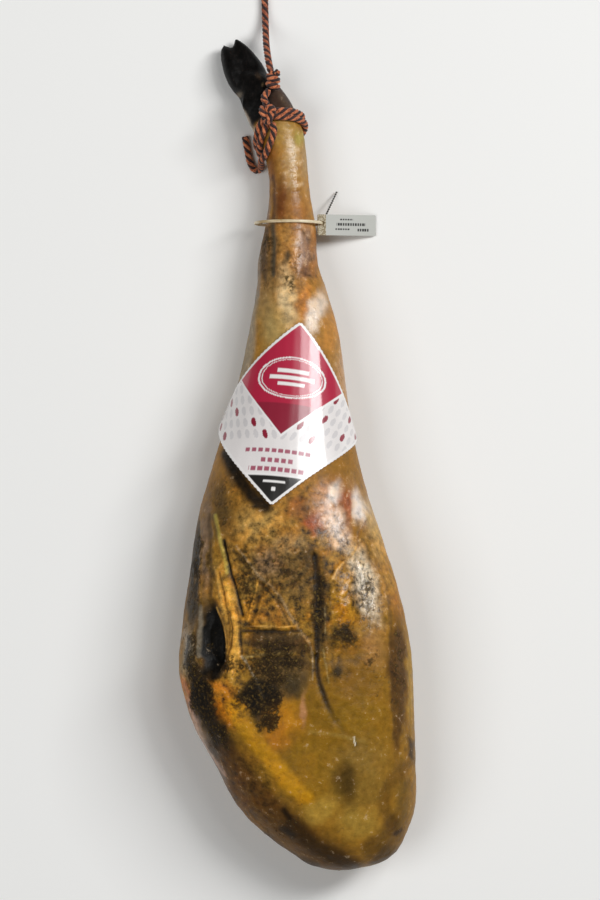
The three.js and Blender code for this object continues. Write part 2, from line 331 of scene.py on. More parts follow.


# Broad grounds first, small marks last: each is laid over those before it.
# The shank: brown skin, a painted sheen on the fetlock's crown, pale skin lightened by painted highlights
# low on each side, and a dark hollow beside the tendon.
SHANK_DAUBS = (
    Daub("9E7038", -10, 210, 60, 90, 0, 1.0, 1.0),
    Daub("AC7E3E", -6, 250, 30, 60),
    Daub("74431F", -16, 252, 11, 28, 0, 0.95),
    Daub("9A6430", 2, 250, 12, 34, -4, 0.8),
    # a painted sheen along the fetlock's crown, palest at its middle
    Daub("C09C68", -6, 296, 9, 34),
    Daub("CDAE80", -4, 306, 6, 14, 0, 0.5),
    Daub("8A5524", -26, 292, 8, 26, 6),
    Daub("A4844F", 7, 300, 8, 26, 0, 0.75),
    Daub("B58A45", 5, 268, 8, 24, 0, 0.5),
    Daub("A79B48", 2, 318, 8, 9, 0, 0.8),
    Daub("B08E4C", -16, 322, 16, 12, 0, 0.7),
    Daub("6A5030", -33, 198, 9, 34, 3, 0.8),
    Daub("9C8050", -30, 150, 14, 34, 0, 0.7),
    # pale skin low on the shank, lightened with a painted highlight
    Daub("DABF90", -10, 156, 11, 38, 4),
    Daub("B79F64", -22, 120, 16, 34, 8, 0.7),
    Daub("9A7862", 8, 208, 10, 26, 0, 0.75),
    Daub("7E5C4C", 10, 184, 10, 9, 20, 0.6),
    Daub("A56C36", 19, 206, 5, 38, -3, 0.7),
    Daub("C07A32", 5, 152, 8, 20, -8),
    # a painted highlight on pale skin low on the shank's right side
    Daub("F0DECC", 18, 142, 11, 25, -20),
    Daub("BE8440", 34, 122, 14, 46, -20, 0.8),
    Daub("3C3422", -11.5, 197, 4, 8, -12),
    Daub("4A3C20", -4, 174, 3, 4, 0, 0.7),
    Daub("5A4826", 0, 166, 2.5, 4, 0, 0.6),
    Daub("A09272", -52, 92, 13, 50, 14, 0.7),
)
# Round the horn: brown pastern skin, the claw's pale worn edge, and glints on the horn.
FOOT_DAUBS = (
    Daub("3C2A20", -12, 352, 15, 20, 30, 1.0, 0.3),
    Daub("544436", -14, 354, 4, 12, 34, 0.7),
    Daub("C4B4A2", -52, 336, 4.5, 17, 26, 1.0, 0.5),
    Daub("B8A894", -44, 322, 5, 9, 20, 0.9),
    Daub("6A6052", -59, 361, 5, 4, 30, 0.9),
    Daub("3E3226", -38, 379, 3, 6, 30, 0.9),
    Daub("57482E", -34, 371, 2.5, 3, 30, 0.9),
)
SHANK_STROKES = (
    Stroke(((-29, 278), (-30, 262), (-30.5, 244), (-31, 232)), 2.8, "927C6C"),
    Stroke(((-24.5, 280), (-24, 256), (-25, 236)), 2.0, "4C2E1C", 0.7, -1.2),
    Stroke(((-26, 230), (-24, 206), (-25, 180)), 3.2, "43443A", 0.85, -2.6),
    Stroke(((-31, 226), (-34, 200), (-34, 176)), 2.4, "3E2E1C", 0.55, -1.0),
    Stroke(((-19, 236), (-16, 200), (-18, 168), (-24, 132)), 5, "", 0.0, 1.7),
    Stroke(((-43, 160), (-45, 130), (-49, 96), (-58, 66)), 5.0, "A0947F", 0.8),
    Stroke(((-39, 200), (-40, 176), (-42, 158)), 3.0, "93887A", 0.7),
    Stroke(((-15, 290), (-7, 286), (3, 288)), 1.4, "8A5A2C", 0.5, -0.8),
    Stroke(((-13, 282), (-6, 279), (3, 281)), 1.3, "D8BC92", 0.5, 0.8),
    Stroke(((2, 222), (6, 200), (2, 184)), 2.2, "B89C8C", 0.6, 0.7),
    Stroke(((10, 218), (12, 196), (8, 180)), 1.6, "6A4E42", 0.5, -0.8),
    Stroke(((-8, 272), (-2, 268), (4, 271)), 1.6, "D8BC92", 0.5, 0.8),
    Stroke(((-9, 266), (-3, 262), (3, 264)), 1.4, "7A5028", 0.5, -0.7),
)
# The thigh, from the card down to the level of the cavity.
THIGH_DAUBS = (
    Daub("94692A", 5, -20, 140, 130, 0, 1.0, 1.0),
    Daub("9E7638", -10, -140, 110, 90, 0, 0.9, 1.0),
    Daub("84600F", 20, -250, 150, 190, 0, 0.95, 1.0),
    Daub("86601A", 60, -230, 60, 110, 0, 0.6, 1.0),
    Daub("B5803C", 48, 60, 22, 60, -12, 0.8),
    Daub("A0803E", -55, 20, 20, 50, 12, 0.6),
    # round the card's foot and down to the first crease
    Daub("C59C54", -36, -68, 28, 20),
    Daub("5A4524", -76, -52, 13, 34, 6),
    Daub("7C6242", -64, -10, 9, 26, 12, 0.7),
    Daub("80602C", -10, -104, 42, 44, 0, 0.7),
    Daub("80654A", -30, -108, 18, 20, 0, 0.7),
    Daub("A98E66", -8, -88, 16, 12, 0, 0.5),
    Daub("8E4424", 16, -66, 13, 15, 18, 0.9),
    Daub("6E4420", 6, -52, 9, 14, 30, 0.7),
    # the near-white and pinkish patches below are painted highlights on pale fat; the reds are the skin's own
    Daub("D0B49C", 28, -58, 6, 16, 14, 0.6),
    Daub("8E5A30", -2, -52, 10, 12, 0, 0.6),
    Daub("AE7448", 36, -44, 24, 26, 0, 0.7),
    Daub("A0542E", 48, -45, 8, 14, 0, 0.8),
    Daub("EADCD0", 36, -38, 9, 15, -24, 0.9),
    Daub("EEE2DA", 62, -52, 9, 20, 12, 0.9),
    Daub("DFC8B6", 42, -74, 13, 24, 14),
    Daub("B06848", 52, -58, 4, 14, 10, 0.6),
    Daub("9A6C4A", 50, -72, 9, 12, 0, 0.5),
    # the right edge is paler: partly pale skin, partly painted light falling from the right
    Daub("C09C60", 78, -76, 9, 38, 16, 0.8),
    Daub("B98636", 90, -120, 8, 44, 12, 0.6),
    # left side: outer strip, rib and the hollow beside them
    # the outer strip's dark grey is mould, deepened with painted shade along the leg's left edge
    Daub("34322E", -103, -108, 9, 58, -5, 0.95),
    Daub("7E6A58", -90, -84, 4, 66, -1),
    Daub("5E4C22", -83, -100, 5, 44, -2, 0.8),
    Daub("3A3A36", -104, -156, 8, 22, -8),
    Daub("94886F", -108, -198, 10, 28, -4),
    Daub("9A9082", -112, -188, 5, 16, -4, 0.5),
    Daub("9A742C", -76, -112, 9, 36, 10, 0.8),
    Daub("0B0906", -85, -184, 17, 44, 4, 1.0, 0.35),
    Daub("0C0A08", -88, -212, 10, 16, 0, 0.9, 0.5),
    # gold column and the flap right of it
    Daub("E6AC4A", -69, -150, 8, 42, 12, 0.95),
    Daub("EBB24E", -63, -195, 8, 28, -8, 0.95),
    Daub("7A5E28", -50, -122, 13, 34, 6, 0.7),
    Daub("B5852F", -50, -154, 6, 14, 0, 0.8),
    Daub("8E6426", -24, -158, 24, 11),
    # the sunken panel
    Daub("3C2D1A", -22, -184, 32, 13, 0, 0.9, 0.35),
    Daub("644C26", -16, -218, 32, 28, 0, 0.95, 0.4),
    Daub("54422A", 6, -196, 9, 30, 6, 0.5),
    Daub("1D1B10", -38, -240, 24, 22, -8, 0.95, 0.4),
    Daub("221E12", -30, -256, 15, 16, 0, 0.9, 0.4),
    Daub("2C2718", -4, -228, 12, 14, 0, 0.7),
    # right of the deep groove
    Daub("5E4826", 2, -120, 24, 34, 0, 0.7),
    Daub("2A1E0E", 24, -150, 11, 50, 0, 0.85, 0.8),
    Daub("AE7A12", 46, -138, 14, 32, -4, 0.95),
    Daub("33270F", 15, -100, 13, 13, 0, 0.75),
    # a pale band of painted sparkle highlights over glossy fat
    Daub("C9A878", 62, -120, 8, 30, 12, 0.4),
    Daub("EADBC2", 67, -128, 14, 44, 16),
    Daub("7E5818", 58, -206, 32, 38, 0, 0.75),
    Daub("33280F", 47, -176, 11, 9, -20),
    Daub("2E2410", 41, -214, 8, 9),
    Daub("44351A", 30, -186, 9, 12, 0, 0.6),
    Daub("B4854C", 78, -190, 13, 26, 10, 0.5),
    Daub("A0681E", 96, -150, 8, 18, 12, 0.8),
    Daub("543818", 100, -212, 12, 58, 2, 0.9, 0.5),
    Daub("50361A", 100, -272, 8, 34, -2, 0.8),
    Daub("A8822C", 114, -215, 4.5, 60),
)
# The rump, with the lean meat's black crust on the left, painted shade along its dark lower edge, and smooth
# yellow fat on the right.
RUMP_DAUBS = (
    Daub("A0640C", -68, -252, 17, 22, 22, 0.95, 0.5),
    Daub("B4741E", -76, -230, 10, 10, 0, 0.7),
    Daub("15110B", -98, -228, 11, 26, 8, 0.95, 0.45),
    Daub("BA7C16", -14, -262, 24, 26),
    Daub("B4701C", -20, -278, 12, 20, 10, 0.6),
    Daub("B9855E", 6, -252, 3.5, 20, -4, 0.7),
    Daub("6A4A18", -5, -278, 4, 6, 20, 0.5),
    Daub("8E6818", 16, -310, 34, 44, 20, 0.7),
    Daub("8A6614", 56, -262, 32, 30, 0, 0.7),
    Daub("86692C", 62, -316, 34, 44, 0, 0.7),
    Daub("3E2C0E", 48, -324, 13, 26, 4, 0.8),
    Daub("B5903A", 22, -352, 26, 13, 42),
    Daub("A28236", 60, -364, 26, 20, 0, 0.75),
    Daub("705420", 106, -344, 11, 40),
    Daub("2C1E10", 113, -294, 5, 18, 4),
    Daub("4A3618", 86, -398, 26, 12, 30),
    Daub("8A5E30", -64, -326, 14, 44, 30),
    Daub("A2784A", -94, -286, 8, 40, 27),
    Daub("C79878", -106, -252, 5, 26, 20),
    Daub("C3794A", -112, -232, 5, 16, 14, 0.8),
)
THIGH_STROKES = (
    # a painted shadow cast by the card's raised left edge, laid over dark crust
    Stroke(((-70, 0), (-56, -26), (-40, -46), (-32, -52)), 8.5, "110C06", 0.95),
    # the long yellow ridge, the slit beside it and the rib
    Stroke(((-81, -60), (-76, -88), (-69, -116)), 2.0, "AE9A4A", 0.85, 1.6),
    Stroke(((-74, -112), (-66, -146), (-60, -172), (-61, -196), (-68, -216)), 5.0, "", 0.0, 3.4),
    Stroke(((-71, -128), (-66, -150), (-63, -170)), 1.6, "D7A242", 0.7, 0.6),
    Stroke(((-77, -116), (-72, -142), (-68, -166), (-67, -188)), 1.4, "634414", 0.7, -2.0),
    Stroke(((-67, -158), (-64, -176), (-67, -192), (-73, -208)), 1.2, "5A3C12", 0.8, -1.6),
    Stroke(((-81, -112), (-77, -136), (-74, -158)), 1.3, "CFA050", 0.7, 1.2),
    Stroke(((-61, -150), (-57, -166), (-57, -184)), 1.2, "6A4A18", 0.7, -1.2),
    Stroke(((-74, -84), (-66, -117), (-60, -137), (-55, -158)), 1.7, "140F06", 1.0, -3.4),
    Stroke(((-93, -20), (-93, -80), (-94, -138)), 4.0, "", 0.0, 2.0),
    Stroke(((-87.5, -60), (-87, -100), (-87, -140)), 2.2, "4A3A22", 0.6, -1.6),
    # a dark grey line along the outer strip, partly painted shade at the leg's left edge
    Stroke(((-98, -66), (-99, -104), (-101, -140)), 2.0, "2E2E2C", 0.6, -1.4),
    Stroke(((-82, -152), (-74, -170), (-71, -190)), 1.7, "C4964A", 0.9, 1.6),
    Stroke(((-96, -150), (-98, -176), (-97, -200)), 1.8, "8E8472", 0.7, 1.4),
    # the diagonal flap that ends at the panel
    Stroke(((-61, -90), (-39, -118), (-20, -137), (-1, -169), (12, -186)), 1.3, "A88C64", 0.8, 1.4),
    Stroke(((-64, -94), (-42, -122), (-23, -141), (-5, -172)), 1.7, "3C2E16", 0.75, -1.5),
    Stroke(((-38.5, -123), (-44, -144), (-49.5, -164)), 1.2, "C8943C", 0.9, 1.4),
    Stroke(((-34, -128), (-40, -148), (-45, -164)), 2.0, "42300F", 0.7, -1.2),
    Stroke(((-49, -169), (-25, -170), (-1, -169)), 1.1, "BC9048", 0.9, 1.5),
    Stroke(((-53, -173.5), (-25, -174.5), (4, -174)), 2.2, "241C12", 0.85, -2.2),
    Stroke(((-53, -199), (-30, -197), (-8, -195)), 2.4, "7C6434", 0.85, 1.2),
    Stroke(((-54, -200), (-44, -200)), 1.0, "B09A62", 0.85, 0.5),
    Stroke(((-52, -203), (-30, -201), (-8, -200)), 1.4, "2A2114", 0.7, -0.9),
    Stroke(((-55, -198), (-46, -214), (-40, -226), (-33, -240)), 0.9, "A59B88", 0.85, 0.5),
    Stroke(((-56, -172), (-55, -196)), 1.6, "1C160E", 0.8, -1.4),
    # the deep groove down the middle
    Stroke(((17, -100), (20, -130), (20, -172), (19, -200)), 3.6, "171007", 0.9, -3.4),
    Stroke(((19, -198), (21, -220), (27, -240), (38, -263)), 3.0, "20170A", 0.9, -2.4),
    Stroke(((38, -262), (48, -274), (60, -286)), 3.4, "3C2A10", 0.8, -0.9),
    Stroke(((12, -186), (15, -201), (15, -222)), 1.2, "A48C68", 0.7, 0.4),
    Stroke(((27, -152), (28, -176)), 1.0, "9A8458", 0.7, 0.3),
    Stroke(((25, -192), (28, -206), (31, -226)), 1.0, "A48A50", 0.6, 0.3),
    # the V of skin above the smooth bulge
    Stroke(((35, -122), (40, -112), (56, -96), (62, -84)), 1.6, "CBA264", 0.85, 1.5),
    Stroke(((60, -92), (62, -76), (68, -66)), 1.6, "7A5834", 0.6, -1.3),
    Stroke(((58, -104), (64, -130), (68, -156)), 2.0, "", 0.0, -1.2),
    Stroke(((90, -140), (92, -170), (94, -230), (96, -280)), 2.0, "3E2A18", 0.4, -0.5),
    Stroke(((81, -64), (92, -104), (101, -140)), 2.0, "", 0.0, 0.9),
)
RUMP_STROKES = (
    # the dark lower edge, partly painted shade, and the bright fat above it
    Stroke(((-80, -300), (-48, -338), (-22, -362), (8, -386), (36, -404)), 24, "5C3E18", 0.9),
    Stroke(((-97, -246), (-86, -266), (-74, -288)), 14, "1C140A", 0.95),
    Stroke(((-70, -292), (-40, -332), (-14, -358), (10, -380)), 10, "5A3C16"),
    Stroke(((-6, -368), (14, -386), (34, -398), (56, -408)), 10, "38260E"),
    Stroke(((-34, -382), (-8, -402), (16, -412)), 8, "2A1C0C"),
    Stroke(((-62, -250), (-47, -276), (-28, -300), (-6, -326), (8, -338)), 9.5, "C48C16", 0.95, 1.6),
    Stroke(((-13, -352), (-8, -360)), 4.0, "181008"),
    Stroke(((-15, -372), (-6, -378)), 4.5, "241A0C", 0.8),
    # the fold on the right
    Stroke(((106, -311), (92, -326), (87, -346), (92, -362), (101, -379)), 8.0, "644618", 0.7, -2.2),
    Stroke(((97, -366), (86, -380), (70, -390)), 10.0, "523A14", 0.7, -1.0),
    Stroke(((99, -378), (104, -375)), 3.0, "2E1E0C", 0.8),
    Stroke(((-108, -244), (-96, -282), (-72, -318)), 2.0, "D0A48C", 0.5, 0.5),
    Stroke(((56, -279), (57, -287)), 0.8, "F0E6D0", 0.95, 0.4),
    Stroke(((58, -281), (58.6, -288)), 0.7, "2C2210", 0.8),
    Stroke(((12, -274), (40, -277), (66, -284)), 2.5, "A08440", 0.35, 0.4),
    Stroke(((30, -340), (60, -346), (84, -340)), 3.0, "6E5420", 0.4, -0.5),
)
LAYERS = (
    (SHANK_DAUBS, SHANK_STROKES),
    (THIGH_DAUBS, THIGH_STROKES),
    (RUMP_DAUBS, RUMP_STROKES),
)
DENTS = (
    Dent(-84, -184, 13.5, 38, -8.5, 4, 0.5),
    Dent(-88, -208, 10, 14, -3.0),
    Dent(-22, -204, 33, 34, -2.4, 0, 0.35),
    Dent(46, -142, 15, 34, 3.6, -4),
    Dent(46, -196, 22, 14, -1.4),
    Dent(-38, -244, 20, 14, -1.6),
    Dent(-44, 140, 9, 16, 1.6),
    Dent(70, -140, 14, 36, -1.2, 14),
    Dent(60, -320, 30, 26, 1.4),
    Dent(49, -326, 11, 20, -1.2),
    Dent(-14, -90, 30, 20, 1.2),
    Dent(-104, -196, 9, 26, 1.6),
    Dent(8, 196, 9, 20, -0.9),
)
# Where dark mould has taken: its places, and how thick it lies there.
MOULD = (
    Daub("", -14, -118, 50, 36, -20, 0.44),
    Daub("", -51, -122, 13, 40, 8, 0.52),
    Daub("", -20, -205, 36, 36, 0, 0.66),
    Daub("", -38, -240, 30, 26, 0, 0.95),
    Daub("", -30, -262, 16, 14, 0, 0.8),
    Daub("", 21, -146, 11, 46, 0, 0.56),
    Daub("", -100, -120, 9, 60, -4, 0.5),
    Daub("", -106, -196, 12, 34, 0, 0.68),
    Daub("", -94, -244, 16, 34, 14),
    Daub("", -78, -276, 12, 24, 28, 0.62),
    Daub("", 100, -214, 10, 60, 0, 0.42),
    Daub("", 66, -136, 20, 46, 14, 0.42),
    Daub("", 46, -178, 20, 16, 0, 0.5),
    Daub("", 42, -214, 12, 12, 0, 0.5),
    Daub("", -62, -208, 22, 16, 0, 0.5),
    Daub("", -74, -50, 18, 34, 0, 0.35),
    Daub("", -30, 200, 14, 40, 0, 0.35),
    Daub("", -8, 180, 16, 20, 0, 0.32),
    Daub("", -10, -366, 30, 14, 36, 0.3),
    Daub("", 78, -214, 18, 30, 0, 0.3),
)
# Where the surface is bare meat or old crust, uneven in colour and rough.
ROUGH = (
    Daub("", -4, -132, 118, 112, 0, 1.0),
    Daub("", -80, -230, 40, 60, 10, 1.0),
    Daub("", -6, 190, 40, 80, 0, 0.55),
    Daub("", -20, -40, 80, 40, 0, 0.65),
    Daub("", -50, -330, 40, 60, 38, 0.6),
)
# Where fat has wept and the skin shines.
GLOSS = (
    Daub("", 46, -56, 36, 40, 0, 0.68),
    Daub("", 70, -130, 20, 50, 14, 0.9),
    Daub("", -4, 290, 14, 50, 0, 0.6),
    Daub("", 20, 140, 14, 34, -20, 0.75),
    Daub("", 34, 60, 26, 60, -16, 0.7),
    Daub("", 46, -140, 16, 34, 0, 0.5),
    Daub("", 6, 206, 14, 34, 0, 0.6),
    Daub("", -96, -290, 14, 60, 30, 0.6),
    Daub("", -110, -190, 6, 24, 0, 0.5),
)


# ---- Finishes -----------------------------------------------------------------------------------------------


@dataclass(frozen=True)
class Finish:
    """A finish: one named material that its pieces share."""

    label: str

    def dress(self, tree: bpy.types.NodeTree, shader: bpy.types.Node) -> None:
        """Wire the finish's pattern into its shader."""
        raise NotImplementedError

    def material(self) -> bpy.types.Material:
        """Return the finish's material, made the first time that it is asked for."""
        made = bpy.data.materials.get(self.label)
        if made is None:
            made = bpy.data.materials.new(self.label)
            made.use_nodes = True
            self.dress(made.node_tree, made.node_tree.nodes["Principled BSDF"])
        return made


@dataclass(frozen=True)
class CuredSkin(Finish):
    """Salted, air-dried pork skin and fat, and the hoof's black horn.

    Drying unevenly turns it from straw to brown in patches. It is dull where cellar mould has taken, and has a
    creased, greasy shine where fat has wept.
    """

    label: str = "cured_pork_skin"
    blotch: float = 26.0  # mm, uneven curing
    mottle: float = 6.6  # mm, patches of fat
    grain: float = 1.6  # mm, pores and salt
    colony: float = 13.0  # mm, spread of the mould
    speck: float = 3.2  # mm, single spots of mould
    fibre: float = 2.4  # mm, streaks in the horn
    fat: str = "D8BE9C"
    redness: Point = (1.04, 0.86, 0.6)  # of lean meat beside the fat, as a share of each light

    def dress(self, tree: bpy.types.NodeTree, shader: bpy.types.Node) -> None:
        """Lay flesh, mould and horn over the painted tint, and give the skin its greasy, creased surface.

        Args:
            tree: The material's nodes.
            shader: The material's own shader.
        """
        place = add(tree, "TexCoord").outputs["Object"]
        masks = add(tree, "Attribute", attribute_name="masks").outputs
        split = add(tree, "SeparateColor", {0: masks["Color"]}).outputs
        gloss = split["Green"]
        noises = {}
        for size in (self.blotch, self.mottle, self.grain, self.colony, self.speck):
            pattern = {"Vector": place, "Scale": 1 / (size * MM), "Detail": 3.2, "Roughness": 0.5}
            noises[size] = add(tree, "TexNoise", pattern).outputs["Fac"]
        flesh = self.flesh(tree, noises, masks["Alpha"], gloss)
        spread = self.spread(tree, noises, split["Red"])
        mould, horn = self.mould(tree, noises[self.speck]), self.horn(tree, place)
        whole = flesh
        for share, colour in ((spread, mould), (split["Blue"], horn)):
            whole = add(tree, "Mix", {0: share, 6: whole, 7: colour}, data_type="RGBA").outputs[2]

        # Mould is rougher than skin, and wept fat is smoother, with a wet film on it.
        rough = weigh(tree, 0.36, (spread, 0.3), (noises[self.mottle], 0.22), (gloss, -0.26))
        film = add(tree, "Math", {0: gloss, 1: 0.05}, operation="SUBTRACT").outputs[0]

        bumps = ((noises[self.mottle], 0.5, 1.6), (noises[self.grain], 0.42, 0.6), (spread, 0.45, 0.6))
        relief: Sockets = {}
        for height, strength, depth in bumps:
            creased = {"Height": height, "Strength": strength, "Distance": depth * MM} | relief
            relief = {"Normal": add(tree, "Bump", creased).outputs[0]}
        surface = {
            "Base Color": whole,
            "Roughness": rough,
            "Normal": relief["Normal"],
            "IOR": 1.46,  # of pork fat
            "Specular IOR Level": 0.15,
            "Subsurface Weight": 0.06,
            "Subsurface Radius": (0.006, 0.003, 0.0015),
            "Coat Weight": film,
            "Coat Roughness": 0.14,
            "Coat Normal": relief["Normal"],
        }
        feed(tree, shader, surface)

    def flesh(
        self,
        tree: bpy.types.NodeTree,
        noises: dict[float, bpy.types.NodeSocket],
        uneven: bpy.types.NodeSocket,
        gloss: bpy.types.NodeSocket,
    ) -> bpy.types.NodeSocket:
        """Vary the painted tint in patches, and fleck it with fat.

        Args:
            tree: The material's nodes.
            noises: The noise of each size.
            uneven: How unevenly the surface has dried.
            gloss: Where fat has wept.

        Returns:
            The colour of skin, meat and fat.
        """
        tint = add(tree, "Attribute", attribute_name="tint").outputs["Color"]
        # It starts at half of the three gains below zero, so that it swings round zero.
        swing = weigh(
            tree, -4.2, (noises[self.blotch], 1.8), (noises[self.mottle], 5.2), (noises[self.grain], 1.4)
        )
        swing = add(tree, "Math", {0: swing, 1: uneven}, operation="MULTIPLY").outputs[0]
        level = add(tree, "MapRange", {0: swing, 1: -1.0, 2: 1.0, 3: 0.16, 4: 1.84}).outputs[0]
        shaded = add(tree, "VectorMath", {0: tint, "Scale": level}, operation="SCALE").outputs[0]
        lean = add(tree, "VectorMath", {0: shaded, 1: self.redness}, operation="MULTIPLY").outputs[0]
        drift = add(tree, "MapRange", {0: noises[self.colony], 1: 0.44, 2: 0.62}).outputs[0]
        drift = add(tree, "Math", {0: drift, 1: uneven}, operation="MULTIPLY").outputs[0]
        shaded = add(tree, "Mix", {0: drift, 6: shaded, 7: lean}, data_type="RGBA").outputs[2]
        fleck = weigh(tree, noises[self.mottle], (gloss, 0.16), (noises[self.grain], 0.35))
        fleck = add(tree, "MapRange", {0: fleck, 1: 0.84, 2: 1.0, 4: 0.5}).outputs[0]
        return add(tree, "Mix", {0: fleck, 6: shaded, 7: linear(self.fat)}, data_type="RGBA").outputs[2]

    def spread(
        self, tree: bpy.types.NodeTree, noises: dict[float, bpy.types.NodeSocket], painted: bpy.types.NodeSocket
    ) -> bpy.types.NodeSocket:
        """Break the mould's painted spread up into ragged colonies.

        Args:
            tree: The material's nodes.
            noises: The noise of each size.
            painted: The painted spread.

        Returns:
            How thick the mould lies.
        """
        ragged = weigh(tree, painted, (noises[self.colony], 1.2), (noises[self.speck], 1.3))
        return add(tree, "MapRange", {0: ragged, 1: 1.58, 2: 1.9, 4: 0.93}).outputs[0]

    def mould(self, tree: bpy.types.NodeTree, specks: bpy.types.NodeSocket) -> bpy.types.NodeSocket:
        """Return the mould's colour, from nearly black to a dusty olive on its highest specks."""
        stops = ((0.34, "0A0703"), (0.5, "1D1408"), (0.62, "403012"), (0.76, "75602F"))
        return add(tree, "ValToRGB", {0: specks}, stops).outputs[0]

    def horn(self, tree: bpy.types.NodeTree, place: bpy.types.NodeSocket) -> bpy.types.NodeSocket:
        """Return the horn's colour: nearly black, streaked lighter along the claw."""
        drawn = add(tree, "VectorMath", {0: place, 1: (1.0, 0.35, 1.0)}, operation="MULTIPLY").outputs[0]
        pattern = {"Vector": drawn, "Scale": 1 / (self.fibre * MM), "Detail": 4.0, "Distortion": 0.4}
        streaks = add(tree, "TexNoise", pattern).outputs["Fac"]
        stops = ((0.45, "050403"), (0.66, "100C0A"), (0.82, "3A3028"))
        return add(tree, "ValToRGB", {0: streaks}, stops).outputs[0]


@dataclass(frozen=True)
class TwistedYarn(Finish):
    """Spun polypropylene yarn: matt, with fine fibres that wind along the strand, and some darker plies."""

    colour: str = "C4683A"
    # shade and crest: painted shade between the fibres and a painted highlight on their crests
    shade: str = "4A1E16"
    crest_highlight: str = "D8875A"
    fibre: float = 0.55  # mm
    ply: float = 3.6  # mm, from one dark ply to the next

    def dress(self, tree: bpy.types.NodeTree, shader: bpy.types.Node) -> None:
        """Draw the fibres along each strand, in the strand's own wound coordinates.

        Args:
            tree: The material's nodes.
            shader: The material's own shader.
        """
        wound = add(tree, "Attribute", attribute_name="fibre").outputs["Vector"]
        place = add(tree, "TexCoord").outputs["Object"]
        fibres = add(tree, "TexNoise", {"Vector": wound, "Scale": 3.2, "Detail": 3.0, "Roughness": 0.7})
        plies = add(tree, "TexNoise", {"Vector": place, "Scale": 1 / (self.ply * MM), "Detail": 3.0})
        fine = fibres.outputs["Fac"]
        both = weigh(tree, fine, (plies.outputs["Fac"], 0.7))
        # the tone follows the fibres' bump height: paler crests are a painted highlight, darker hollows a
        # painted shade; the darker plies are the yarn's own
        stops = ((0.7, self.shade), (0.82, self.colour), (0.99, self.crest_highlight))
        tones = add(tree, "ValToRGB", {0: both}, stops)
        rise = add(tree, "Bump", {"Height": fine, "Strength": 0.6, "Distance": self.fibre * MM})
        surface = {
            "Base Color": tones.outputs[0],
            "Roughness": 0.72,
            "Normal": rise.outputs[0],
            "IOR": 1.49,
            "Sheen Weight": 0.15,
            "Sheen Roughness": 0.5,
        }
        feed(tree, shader, surface)


@dataclass(frozen=True)
class PrintedSheet(Finish):
    """Offset-printed board or film: flat inks under a thin varnish, faintly mottled and not quite flat."""

    roughness: float
    varnish: float
    fleck: float = 0.9  # mm, coarser than real paper fibre so that it shows
    buckle: float = 34.0  # mm, from one low wave in the sheet to the next

    def dress(self, tree: bpy.types.NodeTree, shader: bpy.types.Node) -> None:
        """Read the painted inks and break them up slightly.

        Args:
            tree: The material's nodes.
            shader: The material's own shader.
        """
        inks = add(tree, "Attribute", attribute_name="tint").outputs["Color"]
        place = add(tree, "TexCoord").outputs["Object"]
        fibre, waves = (
            add(tree, "TexNoise", {"Vector": place, "Scale": 1 / (size * MM), "Detail": detail}).outputs[0]
            for size, detail in ((self.fleck, 3.0), (self.buckle, 1.0))
        )
        light = weigh(tree, 0.94, (fibre, 0.12))
        mottled = add(tree, "VectorMath", {0: inks, "Scale": light}, operation="SCALE").outputs[0]
        wavy = add(tree, "Bump", {"Height": waves, "Strength": 0.3, "Distance": 3 * MM}).outputs[0]
        tooth = {"Height": fibre, "Strength": 0.08, "Distance": 0.1 * MM, "Normal": wavy}
        surface = {
            "Base Color": mottled,
            "Roughness": self.roughness,
            "Normal": add(tree, "Bump", tooth).outputs[0],
            "IOR": 1.5,
            "Coat Weight": self.varnish,
            "Coat Roughness": 0.12,
        }
        feed(tree, shader, surface)


@dataclass(frozen=True)
class MouldedNylon(Finish):
    """Injection-moulded nylon: smooth, faintly cloudy, a little greasy from the ham."""

    colour: str = "E2D4B4"
    smear: str = "B79C6C"
    cloud: float = 14.0  # mm, smears of grease
    skin: float = 0.8  # mm, the mould's own texture

    def dress(self, tree: bpy.types.NodeTree, shader: bpy.types.Node) -> None:
        """Cloud the plastic with old grease and give it a soft moulded skin.

        Args:
            tree: The material's nodes.
            shader: The material's own shader.
        """
        place = add(tree, "TexCoord").outputs["Object"]
        cloud, skin = (
            add(tree, "TexNoise", {"Vector": place, "Scale": 1 / (size * MM), "Detail": detail}).outputs[0]
            for size, detail in ((self.cloud, 4.0), (self.skin, 2.0))
        )
        tones = add(tree, "ValToRGB", {0: cloud}, ((0.42, self.colour), (0.72, self.smear)))
        rise = add(tree, "Bump", {"Height": skin, "Strength": 0.1, "Distance": 0.1 * MM})
        surface = {
            "Base Color": tones.outputs[0],
            "Roughness": 0.38,
            "Normal": rise.outputs[0],
            "IOR": 1.53,
            "Subsurface Weight": 0.1,
            "Subsurface Radius": (0.002, 0.002, 0.0015),
        }
        feed(tree, shader, surface)


@dataclass(frozen=True)
class PaintedFloor(Finish):
    """Plain white matt board under the ham."""

    def dress(self, tree: bpy.types.NodeTree, shader: bpy.types.Node) -> None:
        """Leave the board plain and matt."""
        feed(tree, shader, {"Base Color": linear("F6F6F4"), "Roughness": 0.9, "Specular IOR Level": 0.1})


SKIN = CuredSkin()
ORANGE = TwistedYarn("orange_polypropylene_yarn")
DULL_ORANGE = TwistedYarn("worn_orange_yarn", "AE5836", "40201A", "C67A54")
DARK = TwistedYarn("dark_polypropylene_yarn", "281312", "100707", "43221E")
CARD_BOARD = PrintedSheet("varnished_card", 0.34, 0.8)
TAG_FILM = PrintedSheet("printed_tag_plastic", 0.55, 0.0)
NYLON = MouldedNylon("moulded_nylon")
GREY_NYLON = MouldedNylon("grey_nylon", "57544C", "24221F")
FLOOR = PaintedFloor("white_board")


# ---- The cord -----------------------------------------------------------------------------------------------


class Lay(Enum):
    LOOSE = "loose"
    HANGING = "hanging"


